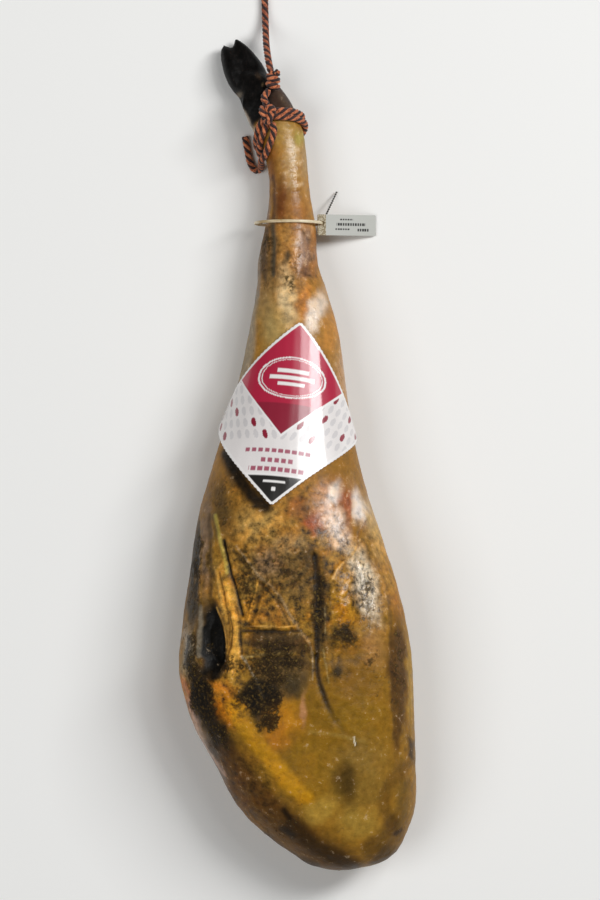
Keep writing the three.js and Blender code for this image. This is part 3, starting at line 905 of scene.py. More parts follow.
@dataclass
class TwistedCord:
    """The hanging cord: four strands, two orange and two dark, laid round each other."""

    strand: float = 1.72  # mm, a strand's radius
    offset: float = 1.85  # mm, from the cord's middle to a strand's
    lay: float = 18.0  # mm, along the cord for one turn of a strand
    step: float = 1.3  # mm, between a strand's points
    count: int = 4
    twist: float = 9.0  # mm, along a strand for one turn of its fibres
    fleck: float = 7.0  # mm, the length of a fibre's lighter stretch
    yarns: tuple[Finish, Finish] = (ORANGE, DARK)

    def piece(self, name: str, *lines: np.ndarray) -> bpy.types.Object:
        """Lay the strands along one or more centrelines, as one mesh.

        Args:
            name: The piece's name.
            lines: Centrelines, in mm.

        Returns:
            The piece, in metres and at the origin.
        """
        curve = bpy.data.curves.new(name, "CURVE")
        curve.dimensions = "3D"
        curve.bevel_depth = self.strand * MM
        curve.bevel_resolution = 2
        curve.use_fill_caps = True
        for finish in self.yarns:
            curve.materials.append(finish.material())
        lengths = []
        for line in lines:
            for k, strand in enumerate(self.strands(even(line, self.step))):
                spline = curve.splines.new("POLY")
                spline.points.add(len(strand) - 1)
                spline.points.foreach_set("co", np.hstack([strand * MM, np.ones((len(strand), 1))]).ravel())
                spline.material_index = k % len(self.yarns)
                spline.use_smooth = True
                lengths.append(len(strand))
        source = add_object(name + "_line", curve)
        mesh = bpy.data.meshes.new_from_object(source.evaluated_get(bpy.context.evaluated_depsgraph_get()))
        bpy.data.objects.remove(source)
        mesh.name = name
        self.wind(mesh, lengths)
        return add_object(name, mesh)

    def strands(self, line: np.ndarray) -> list[np.ndarray]:
        """Wind the strands' own lines round a centreline.

        Args:
            line: The centreline's points, evenly spaced.

        Returns:
            One line of points for each strand.
        """
        along = np.gradient(line, axis=0)
        along /= np.linalg.norm(along, axis=1)[:, None]
        normal = np.zeros_like(line)
        side = Vector(along[0]).orthogonal().normalized()
        for i, direction in enumerate(along):
            ahead = Vector(direction)
            side = (side - ahead * side.dot(ahead)).normalized()
            normal[i] = side
        across = np.cross(along, normal)
        travelled = np.arange(len(line)) * np.linalg.norm(line[1] - line[0])
        wound = []
        for k in range(self.count):
            angle = (2 * math.pi * (k / self.count - travelled / self.lay))[:, None]
            wound.append(line + self.offset * (np.cos(angle) * normal + np.sin(angle) * across))
        return wound

    def wind(self, mesh: bpy.types.Mesh, lengths: list[int]) -> None:
        """Give each strand's surface wound coordinates, which its fibres follow.

        Args:
            mesh: The strands' tubes, one ring of points after another.
            lengths: How many rings each strand has.
        """
        ring = len(mesh.vertices) // sum(lengths)
        travelled = np.concatenate([np.arange(n) * self.step for n in lengths])
        angle = 2 * math.pi * (np.arange(ring) / ring + travelled[:, None] / self.twist)
        onward = np.repeat(travelled[:, None] / self.fleck, ring, 1)
        wound = np.stack([np.cos(angle), np.sin(angle), onward], axis=2)
        values = np.zeros((len(mesh.vertices), 3), np.float32)
        values[: wound.shape[0] * ring] = wound.reshape(-1, 3)
        layer = mesh.attributes.new("fibre", "FLOAT_VECTOR", "POINT")
        layer.data.foreach_set("vector", values.ravel())


@dataclass
class HangingCord:
    """The cord noosed round the fetlock, its knots, its loose tail, and the lead that ends in a tied eye."""

    noose_lift: float = 3.9  # mm, from the leg's skin to the cord's middle
    noose_free: int = 6  # points of the noose that have left the skin for the knot
    tail_length: float = 127.0
    lead_length: float = 122.0
    eye_round: float = 198.0
    noose: tuple[Point, ...] = (
        (-34.7, 342, 53.5), (-14.3, 344, 53.1), (1.8, 342.3, 40.8), (5.8, 337.1, 23.4), (-2, 326.4, 10.3),
        (-18.2, 318.1, 6.1), (-33.2, 310.2, 13.2), (-40.4, 307, 28.2), (-41.1, 318.3, 45.2),
        (-33.3, 335.5, 54.5), (-12.9, 337.9, 54.7), (3.7, 335.6, 43), (8.7, 329.4, 25.4), (1.3, 319, 11.8),
        (-14.5, 311, 6.8), (-29.4, 303.2, 13), (-37.3, 300.1, 27.4), (-38.3, 310, 44.5),
        (-31.5, 328.8, 55.1),
    )
    link: tuple[Point, ...] = ((-31, 350, 60), (-33.5, 357, 55.5), (-29, 364, 51))
    tail: tuple[Point, ...] = (
        (-25.5, 331, 60), (-23.5, 325, 58.5), (-25, 317.5, 57.5), (-28, 310, 55.5), (-31, 303, 51.8),
        (-34, 297.5, 45.5), (-36, 295, 38), (-36.5, 293, 29.8), (-36.3, 291, 21.5), (-36.5, 288.8, 13),
        (-38.4, 286.4, 6.8), (-42, 286.2, 4.2), (-45.4, 289.4, 4), (-47.6, 294.5, 4), (-49.2, 301, 4),
        (-50.5, 308, 4), (-51.8, 315, 4), (-52.6, 319.5, 4),
    )
    lead: tuple[Point, ...] = (
        (-27, 384, 46), (-29, 394, 40), (-30.5, 404, 31), (-31.5, 414, 21.5), (-32, 425, 13),
        (-32.4, 438, 6.3), (-32.8, 453, 3.9), (-33, 466, 5), (-33.2, 476, 8), (-33.2, 485, 10.6),
        (-33.2, 491, 11),
    )
    knot: Point = (-30, 341, 61.5)
    knot_half: Point = (5.9, 8.4, 4.4)
    slip_knot: Point = (-24.5, 375, 48)
    eye_knot: Point = (-29.5, 504, 11)
    eye_start: float = 517.0
    eye_length: float = 82.0
    # Places up the eye's side: share of its length, how far out, how high.
    eye_side: tuple[Point, ...] = (
        (0, 3.7, 11), (0.04, 3.7, 11), (0.14, 6.7, 8), (0.38, 17, 3.8), (0.66, 23, 3.8), (0.9, 15.18, 3.8),
    )
    cord: TwistedCord = field(default_factory=TwistedCord)
    worn: TwistedCord = field(default_factory=lambda: TwistedCord(yarns=(DULL_ORANGE, DARK)))

    def build(self, leg: BVHTree) -> None:
        """Args:
            leg: The finished leg's surface, in metres.
        """
        self.tie_noose(leg)
        self.place(self.cord, "rope_link", through(self.link, 1))
        self.place(self.cord, "rope_knot", self.knot_line())
        self.place(self.cord, "rope_slip_knot", *self.slip_lines())
        self.run_tail()
        self.run_lead()

    def place(self, cord: TwistedCord, node: str, *lines: np.ndarray) -> bpy.types.Object:
        """Lay real strands in place of one of the frame's plain stretches or knots."""
        return mount(cord.piece(node + "_strands", *lines), "twisted_cord", node)

    def tie_noose(self, leg: BVHTree) -> None:
        """Lay the noose's two turns on the leg's skin.

        Args:
            leg: The finished leg's surface, in metres.
        """
        line = through([*self.noose, self.knot], 2.0)
        for i, point in enumerate(line[: -self.noose_free]):
            near, normal, _, _ = leg.find_nearest(Vector(point) * MM)
            out = Vector(point) * MM - near
            away = out.normalized() if out.dot(normal) > 0 else normal
            line[i] = (near + away * self.noose_lift * MM) / MM
            line[i][2] = max(line[i][2], ROPE_D / 2 + CORD_GAP)
        line[1:-1] = (line[:-2] + 2 * line[1:-1] + line[2:]) / 4
        self.place(self.cord, "rope_noose", line)

    def knot_line(self) -> np.ndarray:
        """Return the noose knot's line: an overhand knot drawn tight, as a trefoil."""
        turn = np.linspace(0, 2 * math.pi, 90)
        across = (np.sin(turn) + 2 * np.sin(2 * turn)) / 3
        along = (np.cos(turn) - 2 * np.cos(2 * turn)) / 3
        return np.stack([across, along, -np.sin(3 * turn)], axis=1) * self.knot_half + self.knot

    def slip_lines(self) -> list[np.ndarray]:
        """Return the slip knot's lines: turns wound round the lead, and the lead inside them."""
        core = np.linspace((-1.5, -8, 1), (0.5, 8, -1), 12)
        return [self.coil(2.1, (4.2, 4.2), (-7.6, 7.4), 80) + self.slip_knot, core + self.slip_knot]

    def coil(self, turns: float, radii: Plan, reach: Plan, count: int) -> np.ndarray:
        """Wind a line round the Y axis.

        Args:
            turns: How many times round.
            radii: The coil's half width and half height, in mm.
            reach: Where it starts and ends along the axis, in mm.
            count: How many points it has.

        Returns:
            The line's points, in mm.
        """
        turn = np.linspace(0, 2 * math.pi * turns, count)
        return np.stack([radii[0] * np.cos(turn), np.linspace(*reach, count), radii[1] * np.sin(turn)], axis=1)

    def run_tail(self) -> None:
        """Hang the loose tail from the noose knot, down to what the ham lies on."""
        line = through(self.tail, 1)
        self.place(self.cord, "rope_tail", line)

    def run_lead(self) -> None:
        """Run the lead up from the slip knot to the knot of its eye, then tie that knot and lay the eye."""
        line = through(self.lead, 1)
        lead = self.place(self.worn, "rope_lead", line)
        knot = self.place(self.worn, "rope_eye_knot", *self.eye_knot_lines())
        loop = self.eye_line()
        eye = self.place(self.worn, "rope_eye", loop)

    def eye_knot_lines(self) -> list[np.ndarray]:
        """Return the lines of the eye's knot: three turns round the cord's two legs."""
        wound = self.coil(2.6, (10.6, 7.1), (-9, 9), 110)
        legs = [np.array([(x, y, 0) for y in (-12.3, 0, 12.3)]) for x in (-3.7, 3.7)]
        return [line + self.eye_knot for line in (wound, *legs)]

    def eye_line(self) -> np.ndarray:
        """Return the eye's line: up one side, over its crown and down the other."""
        x = self.eye_knot[0]
        start, long = self.eye_start, self.eye_length
        left, right = [
            [(x + side * out, start + share * long, high) for share, out, high in self.eye_side]
            for side in (-1, 1)
        ]
        crown = (x, start + long, self.eye_side[-1][2])
        return through([*left, crown, *reversed(right)], 1)


# ---- The leg ------------------------------------------------------------------------------------------------


def rounded_noise(places: np.ndarray, size: float, seed: float) -> np.ndarray:
    """Return smooth noise from about -1 to 1 at places in mm, whose lumps are about size mm across."""
    return np.array([noise.noise(Vector(p)) for p in places / size + seed])


def patch(mark: Daub | Dent, x: np.ndarray, y: np.ndarray) -> np.ndarray:
    """Find how strongly a soft oval covers each place.

    Args:
        mark: The oval.
        x: The places across the leg, in mm.
        y: The places along it, in mm.

    Returns:
        Shares from 0 to 1.
    """
    turn = math.radians(mark.turn)
    dx, dy = x - mark.x, y - mark.y
    across = (dx * math.cos(turn) + dy * math.sin(turn)) / mark.across
    along = (dy * math.cos(turn) - dx * math.sin(turn)) / mark.along
    return 1 - smoothstep(np.hypot(across, along), 1 - mark.soft, 1 + 0.35 * mark.soft)


def line_distance(points: Sequence[Plan], x: np.ndarray, y: np.ndarray) -> np.ndarray:
    """Find each place's distance from a smooth line through points.

    Args:
        points: The line's points in plan, in mm.
        x: The places across the leg, in mm.
        y: The places along it, in mm.

    Returns:
        Distances, in mm.
    """
    curve = np.array(points, float)
    if len(points) > 2:
        curve = through([(a, b, 0.0) for a, b in points], 2.0)[:, :2]
    nearest = np.full(len(x), 1e9)
    for a, b in zip(curve, curve[1:]):
        run = b - a
        share = np.clip(((x - a[0]) * run[0] + (y - a[1]) * run[1]) / (run @ run), 0, 1)
        nearest = np.minimum(nearest, np.hypot(x - a[0] - share * run[0], y - a[1] - share * run[1]))
    return nearest


@dataclass
class Leg:
    """The cured leg with its hoof: sculpted from the frame's plain leg, and painted."""

    voxel: float = 2.75  # mm
    smoothings: int = 14
    creased: tuple[float, float, float, float] = (-112.0, -300.0, 108.0, -24.0)  # its box in plan, in mm
    ground: str = "A87A2E"
    underside: str = "9C742E"
    hide: str = "2E2118"  # the dark skin round the top of the hoof
    # The horn starts past a line across the pastern: a place on it, and which way is towards the claws.
    coronet: Plan = (-24.0, 341.0)
    foot_turn: float = 32.0
    # Where the card lies: its middle and half its reach, where the skin is pressed smoother.
    card: Plan = (-8.0, 42.0)
    card_reach: Plan = (85.0, 110.0)
    # How far the marks' edges stray: their size, the ripples' size and two seeds for each direction.
    stray: tuple[tuple[float, float, float, float], ...] = ((4.5, 15, 3.1, 21.4), (1.6, 5.5, 8.7, 33.9))
    # The shrunken skin's lumps: how high, how wide and a seed.
    lumps: tuple[Point, ...] = ((1.3, 46, 1.7), (0.55, 17, 4.4), (0.3, 7, 9.2))
    steadiness: float = 0.25  # share of the straying that lines and dents have

    def build(self) -> BVHTree:
        """Sculpt and paint the leg.

        Returns:
            Its surface for the pieces that lie on it, in metres.
        """
        mesh = self.remeshed()
        places = np.empty(len(mesh.vertices) * 3)
        mesh.vertices.foreach_get("co", places)
        places = places.reshape(-1, 3) / MM
        normals = np.empty(len(mesh.vertices) * 3, np.float32)
        mesh.vertex_normals.foreach_get("vector", normals)
        normals = normals.reshape(-1, 3).astype(float)
        drift = sum(far * rounded_noise(places, size, seed) for far, size, seed, _ in self.stray)
        sway = sum(far * rounded_noise(places, size, seed) for far, size, _, seed in self.stray)
        x, y = places[:, 0], places[:, 1]
        horn = self.horn(places)
        wavering = (x + drift, y + sway)
        steady = (x + self.steadiness * drift, y + self.steadiness * sway)
        self.paint(mesh, wavering, steady, normals[:, 2], horn)
        height = self.relief(steady, places, normals[:, 2]) * (1 - 0.8 * horn)
        places += normals * height[:, None]
        places[:, 2] = np.maximum(places[:, 2], 0)
        mesh.vertices.foreach_set("co", (places * MM).ravel())
        mesh.update()
        leg = add_object("cured_leg", mesh)
        leg.data.materials.append(SKIN.material())
        mount(leg, "cured_skin", "ham_leg")
        return BVHTree.FromObject(leg, bpy.context.evaluated_depsgraph_get())

    def remeshed(self) -> bpy.types.Mesh:
        """Return the frame's plain leg as a fine even mesh with its facets smoothed away."""
        shape = plain_leg()
        plain = bpy.data.meshes.new("plain_leg")
        shape.to_mesh(plain)
        shape.free()
        rough = add_object("plain_leg", plain)
        remesh = rough.modifiers.new("even", "REMESH")
        remesh.mode = "VOXEL"
        remesh.voxel_size = self.voxel * MM
        remesh.use_smooth_shade = True
        smooth = rough.modifiers.new("facets", "SMOOTH")
        smooth.factor = 0.5
        smooth.iterations = self.smoothings
        mesh = bpy.data.meshes.new_from_object(rough.evaluated_get(bpy.context.evaluated_depsgraph_get()))
        bpy.data.objects.remove(rough)
        mesh.name = "cured_leg"
        mesh.materials.clear()
        self.refine(mesh)
        mesh.polygons.foreach_set("use_smooth", [True] * len(mesh.polygons))
        return mesh

    def refine(self, mesh: bpy.types.Mesh) -> None:
        """Halve the mesh's cells on the thigh's upper side, where its creases are sharpest.

        Args:
            mesh: The leg.
        """
        shape = bmesh.new()
        shape.from_mesh(mesh)
        west, south, east, north = (side * MM for side in self.creased)
        edges = set()
        for face in shape.faces:
            middle = face.calc_center_median()
            if face.normal.z > 0.25 and west < middle.x < east and south < middle.y < north:
                edges.update(face.edges)
        bmesh.ops.subdivide_edges(shape, edges=list(edges), cuts=1, use_grid_fill=True, smooth=0.0)
        shape.to_mesh(mesh)
        shape.free()

    def horn(self, places: np.ndarray) -> np.ndarray:
        """Find how far each place is horn or the black skin next to it.

        Args:
            places: The places, in mm.

        Returns:
            Shares from 0 to 1.
        """
        turn = math.radians(self.foot_turn)
        across, along = places[:, 0] - self.coronet[0], places[:, 1] - self.coronet[1]
        ahead = along * math.cos(turn) - across * math.sin(turn)
        ragged = ahead + 3.0 * rounded_noise(places, 9, 5.5)
        return smoothstep(ragged, -3.0, 5.0)

    def paint(
        self, mesh: bpy.types.Mesh, wavering: Places, steady: Places, up: np.ndarray, horn: np.ndarray
    ) -> None:
        """Paint the leg's colours and its masks for mould, gloss, horn and rough meat.

        Args:
            mesh: The leg.
            wavering: Each vertex's place across and along the leg in mm, shifted for ragged patches.
            steady: The same, shifted less, for lines.
            up: How far each vertex faces up.
            horn: How far each vertex is horn.
        """
        x, y = wavering
        tint = np.tile(linear(self.ground), (len(x), 1))
        for daubs, strokes in LAYERS:
            for daub in daubs:
                self.lay(tint, daub.colour, daub.strength * patch(daub, x, y))
            for stroke in strokes:
                if stroke.colour:
                    away = line_distance(stroke.points, *steady)
                    near = 1 - smoothstep(away, 0.3 * stroke.half, 1.3 * stroke.half)
                    self.lay(tint, stroke.colour, stroke.strength * near)
        self.lay(tint, self.hide, horn)
        horn = horn.copy()
        for daub in FOOT_DAUBS:
            share = daub.strength * patch(daub, *steady)
            self.lay(tint, daub.colour, share)
            horn *= 1 - share
        below = smoothstep(-up, 0.25, 0.8)
        self.lay(tint, self.underside, 0.85 * below)
        masks = np.ones((len(x), 4))
        for column, marks, least in ((0, MOULD, 0.0), (1, GLOSS, 0.06), (3, ROUGH, 0.24)):
            masks[:, column] = least
            for daub in marks:
                masks[:, column] = np.maximum(masks[:, column], daub.strength * patch(daub, x, y))
        masks[:, 0] += (0.3 - masks[:, 0]) * below
        masks[:, 2] = horn
        paint_tint(mesh, tint)
        paint_tint(mesh, masks, "masks")

    def lay(self, tint: np.ndarray, colour: str, share: np.ndarray) -> None:
        """Lay a colour over the painted tint, by a share at each vertex."""
        tint += (np.array(linear(colour)) - tint) * share[:, None]

    def relief(self, steady: Places, places: np.ndarray, up: np.ndarray) -> np.ndarray:
        """Shape the leg's creases, swellings and shrunken skin.

        Args:
            steady: Each vertex's place in plan, in mm, slightly shifted.
            places: Each vertex's place, in mm.
            up: How far each vertex faces up.

        Returns:
            How far each vertex moves out, in mm.
        """
        x, y = steady
        height = np.zeros(len(x))
        for dent in DENTS:
            height += dent.height * patch(dent, x, y)
        for stroke in (stroke for _, strokes in LAYERS for stroke in strokes):
            if stroke.height:
                share = line_distance(stroke.points, x, y) / (stroke.half * 1.1)
                height += 0.6 * stroke.height * np.exp(-share * share)
        height *= smoothstep(up, 0.0, 0.45)
        lumps = sum(far * rounded_noise(places, size, seed) for far, size, seed in self.lumps)
        off = (places[:, :2] - self.card) / self.card_reach
        under_card = np.exp(-(off**4).sum(axis=1))
        return height + lumps * (1 - 0.6 * under_card)


# ---- The label card -----------------------------------------------------------------------------------------


@dataclass
class LegWrap:
    """Places on the plain leg, found by going a distance round it from its crown."""

    low: float = -64.0
    high: float = 152.0
    step: float = 6.0
    axis: float = 45.0  # mm, the height that the leg is measured from
    outside: float = 300.0  # mm, well clear of the leg
    sweep: Point = (-20.0, 200.5, 2.5)  # degrees round the leg: from, to and step
    rows: list[tuple[np.ndarray, np.ndarray, np.ndarray]] = field(default_factory=list)

    def measure(self) -> None:
        """Take the leg's profile at even steps along it, from its crown down both sides."""
        shape = plain_leg()
        surface = BVHTree.FromBMesh(shape)
        shape.free()
        angles = np.radians(np.arange(*self.sweep))
        for row in range(round((self.high - self.low) / self.step) + 1):
            y = self.low + row * self.step
            starts = [Vector((side * self.outside, y, self.axis)) for side in (-1, 1)]
            sides = [self.hit(surface, start, Vector((-start.x, 0, 0)).normalized()).x for start in starts]
            middle = Vector((sum(sides) / 2, y, self.axis))
            ring = np.array([self.hit(surface, middle, Vector((math.cos(a), 0, math.sin(a)))) for a in angles])
            ring[1:-1] = (ring[:-2] + 2 * ring[1:-1] + ring[2:]) / 4
            run = np.gradient(ring, axis=0)
            out = np.stack([run[:, 2], np.zeros(len(ring)), -run[:, 0]], axis=1)
            out /= np.linalg.norm(out, axis=1)[:, None]
            travelled = np.concatenate([[0], np.cumsum(np.linalg.norm(np.diff(ring, axis=0), axis=1))])
            crown = np.interp(middle.x, ring[::-1, 0], travelled[::-1])
            self.rows.append((crown - travelled, ring, out))

    def hit(self, surface: BVHTree, start: Vector, way: Vector) -> Vector:
        """Return where a ray from a point meets the leg, in mm."""
        place, _, _, _ = surface.ray_cast(start * MM, way)
        return place / MM

    def place(self, y: float, distance: float, lift: float) -> np.ndarray:
        """Find a point by going round the leg from its crown.

        Args:
            y: How far along the leg, in mm.
            distance: How far round it, in mm.
            lift: How far off its skin, in mm.

        Returns:
            The point, in mm.
        """
        share, row = math.modf((y - self.low) / self.step)
        found = []
        for distances, ring, out in (self.rows[int(row)], self.rows[int(row) + 1]):
            lifted = ring + lift * out
            found.append([np.interp(distance, distances[::-1], lifted[::-1, k]) for k in range(3)])
        return (1 - share) * np.array(found[0]) + share * np.array(found[1])


@dataclass
class LabelCard:
    """A square printed card with a scalloped edge, hung corner up and bent round the tapering leg."""

    side: float = 131.0
    thick: float = 0.9
    turn: float = 6.4  # degrees
    clear: float = 2.6  # mm between the leg and the card
    apex: float = 230.0  # mm, from its middle to the point of the cone that it is bent to
    middle: Plan = (-3.7, 41.6)
    cells: int = 168
    corner: float = 4.0
    scallop: float = 4.7  # mm, from one scallop to the next
    scallop_depth: float = 0.5
    rim: float = 2.5  # mm of its edge that the scallops draw in
    border: float = 3.0
    curl: float = 2.6  # mm, how far its left edges stand off the leg
    curl_reach: float = 26.0  # mm of its left edges that curl
    # The red square's left and lower sides, as shares of the card's, and the white line's outer side.
    square: Plan = (0.385, 0.39)
    square_line: float = 0.37
    square_shade: float = -26.0  # mm, where its darker foot starts, from the emblem's middle
    emblem_up: float = 35.4
    ovals: Plan = (33.0, 20.0)
    # Bars in the oval: how far up, half their length and half their thickness.
    emblem_bars: tuple[Point, ...] = ((6.5, 15.0, 1.7), (0.0, 22.0, 2.0), (-6.5, 13.0, 1.7))
    # Broken bars on the pale ground: how far up, half their length and where in a break they start.
    ground_bars: tuple[Point, ...] = ((-37.5, 33.0, 0.0), (-47.0, 17.0, 0.4), (-56.0, 27.0, 0.7))
    bar_half: float = 2.1
    bar_break: float = 6.6
    pitch: Plan = (9.2, 11.5)  # mm, from one small oval to the next, across and up
    leaf: Plan = (2.5, 4.6)
    ovals_over: float = -29.0  # mm, below which no row of small ovals starts
    foot: float = -62.6  # mm, where the black corner starts
    foot_line: float = 2.4
    white: str = "F1EEEC"
    crimson: str = "B3183C"
    deep: str = "8E1430"
    pale: str = "EAE5E3"
    grey: str = "D6D2D2"
    faded: str = "A85A6C"
    black: str = "17130F"

    def build(self) -> None:
        """Cut, print and bend the card."""
        wrap = LegWrap()
        wrap.measure()
        shape = bmesh.new()
        bmesh.ops.create_grid(shape, x_segments=self.cells, y_segments=self.cells, size=self.side / 2)
        colours = []
        for vert in shape.verts:
            self.cut(vert)
            colours.append(linear(self.ink(vert.co.x, vert.co.y)))
            vert.co = Vector(self.bend(wrap, vert.co.x, vert.co.y))
        card = add_shape("label_card_print", shape, CARD_BOARD)
        paint_tint(card.data, colours)
        thicken(card, self.thick)
        mount(card, "laminated_card", "label_card")

    def cut(self, vert: bmesh.types.BMVert) -> None:
        """Draw an edge's vertices in between the scallops, and round the corners.

        Args:
            vert: A vertex of the flat card.
        """
        half = self.side / 2
        x, y = vert.co.x, vert.co.y
        along_x, along_y = (
            self.scallop_depth * (0.5 + 0.5 * math.cos(2 * math.pi * at / self.scallop)) / half for at in (x, y)
        )
        y *= 1 - along_x * smoothstep(abs(y), half - self.rim, half)
        x *= 1 - along_y * smoothstep(abs(x), half - self.rim, half)
        vert.co.x, vert.co.y = rounded((x, y), (half, half), self.corner)

    def bend(self, wrap: LegWrap, x: float, y: float) -> np.ndarray:
        """Wrap a flat place round the leg's cone.

        Args:
            wrap: The leg's places.
            x: The place across the flat card, in mm.
            y: The place up the flat card, in mm.

        Returns:
            The bent place, in mm.
        """
        turned = math.radians(45 - self.turn)
        across = x * math.cos(turned) - y * math.sin(turned)
        along = x * math.sin(turned) + y * math.cos(turned)
        reach = math.hypot(across, self.apex - along)
        round_leg = self.middle[0] + math.atan2(across, self.apex - along) * reach
        off_edge = min(self.side / 2 + x, self.curl_reach) / self.curl_reach
        lift = self.clear + self.thick / 2 + self.curl * (1 - off_edge) ** 2
        return wrap.place(self.middle[1] + self.apex - reach, round_leg, lift)

    def ink(self, x: float, y: float) -> str:
        """Choose the ink: a white border, a red square in the upper corner and a black lower corner.

        Args:
            x: The place across the flat card, in mm.
            y: The place up the flat card, in mm.

        Returns:
            The ink's hex colour.
        """
        half = self.side / 2
        right, up = (x - y) / math.sqrt(2), (x + y) / math.sqrt(2)
        share_x, share_y = (x + half) / self.side, (y + half) / self.side
        if half - max(abs(x), abs(y)) < self.border:
            return self.white
        if share_x > self.square[0] and share_y > self.square[1]:
            return self.emblem(right, up - self.emblem_up)
        if self.square_line < min(share_x, share_y) <= self.square[1]:
            return self.white
        if up < self.foot:
            return self.white if self.foot_mark(right, up - self.foot) else self.black
        if up < self.foot + self.foot_line:
            return self.white
        return self.field(right, up)

    def emblem(self, right: float, up: float) -> str:
        """Choose the red square's ink: a plain double oval with three plain bars in it.

        Args:
            right: How far right of the ovals' middle, in mm.
            up: How far above it, in mm.

        Returns:
            The ink's hex colour.
        """
        oval = math.hypot(right / self.ovals[0], up / self.ovals[1])
        ring = abs(oval - 1.0) < 0.75 / 24 or abs(oval - 0.9) < 0.35 / 24
        if ring or any(abs(right) < long and abs(up - at) < thick for at, long, thick in self.emblem_bars):
            return self.white
        return self.deep if up < self.square_shade else self.crimson

    def field(self, right: float, up: float) -> str:
        """Choose the pale ground's ink: rows of small ovals, and broken bars below them.

        Args:
            right: How far right of the card's middle, in mm.
            up: How far above it, in mm.

        Returns:
            The ink's hex colour.
        """
        for at, long, start in self.ground_bars:
            if abs(up - at) < self.bar_half and abs(right) < long:
                return self.faded if (right / self.bar_break + start) % 1.0 < 0.72 else self.pale
        wide, high = self.pitch
        row, place = divmod(up + OFF_CARD, high)
        column, along = divmod(right + OFF_CARD + wide / 2 * (row % 2), wide)
        rise = place - high / 2
        lean = rise * math.copysign(0.35, right)
        in_oval = math.hypot((along - wide / 2 - lean) / self.leaf[0], rise / self.leaf[1]) < 1
        if in_oval and row * high > OFF_CARD + self.ovals_over:
            return self.deep if (2 * row + column) % 5 == 0 else self.grey
        return self.pale

    def foot_mark(self, right: float, up: float) -> bool:
        """Say whether a place is in the black corner's plain bar or dot."""
        return (abs(right) < 11 and abs(up + 5.5) < 1.2) or math.hypot(right, up + 13) < 2.1


# ---- The seal -----------------------------------------------------------------------------------------------


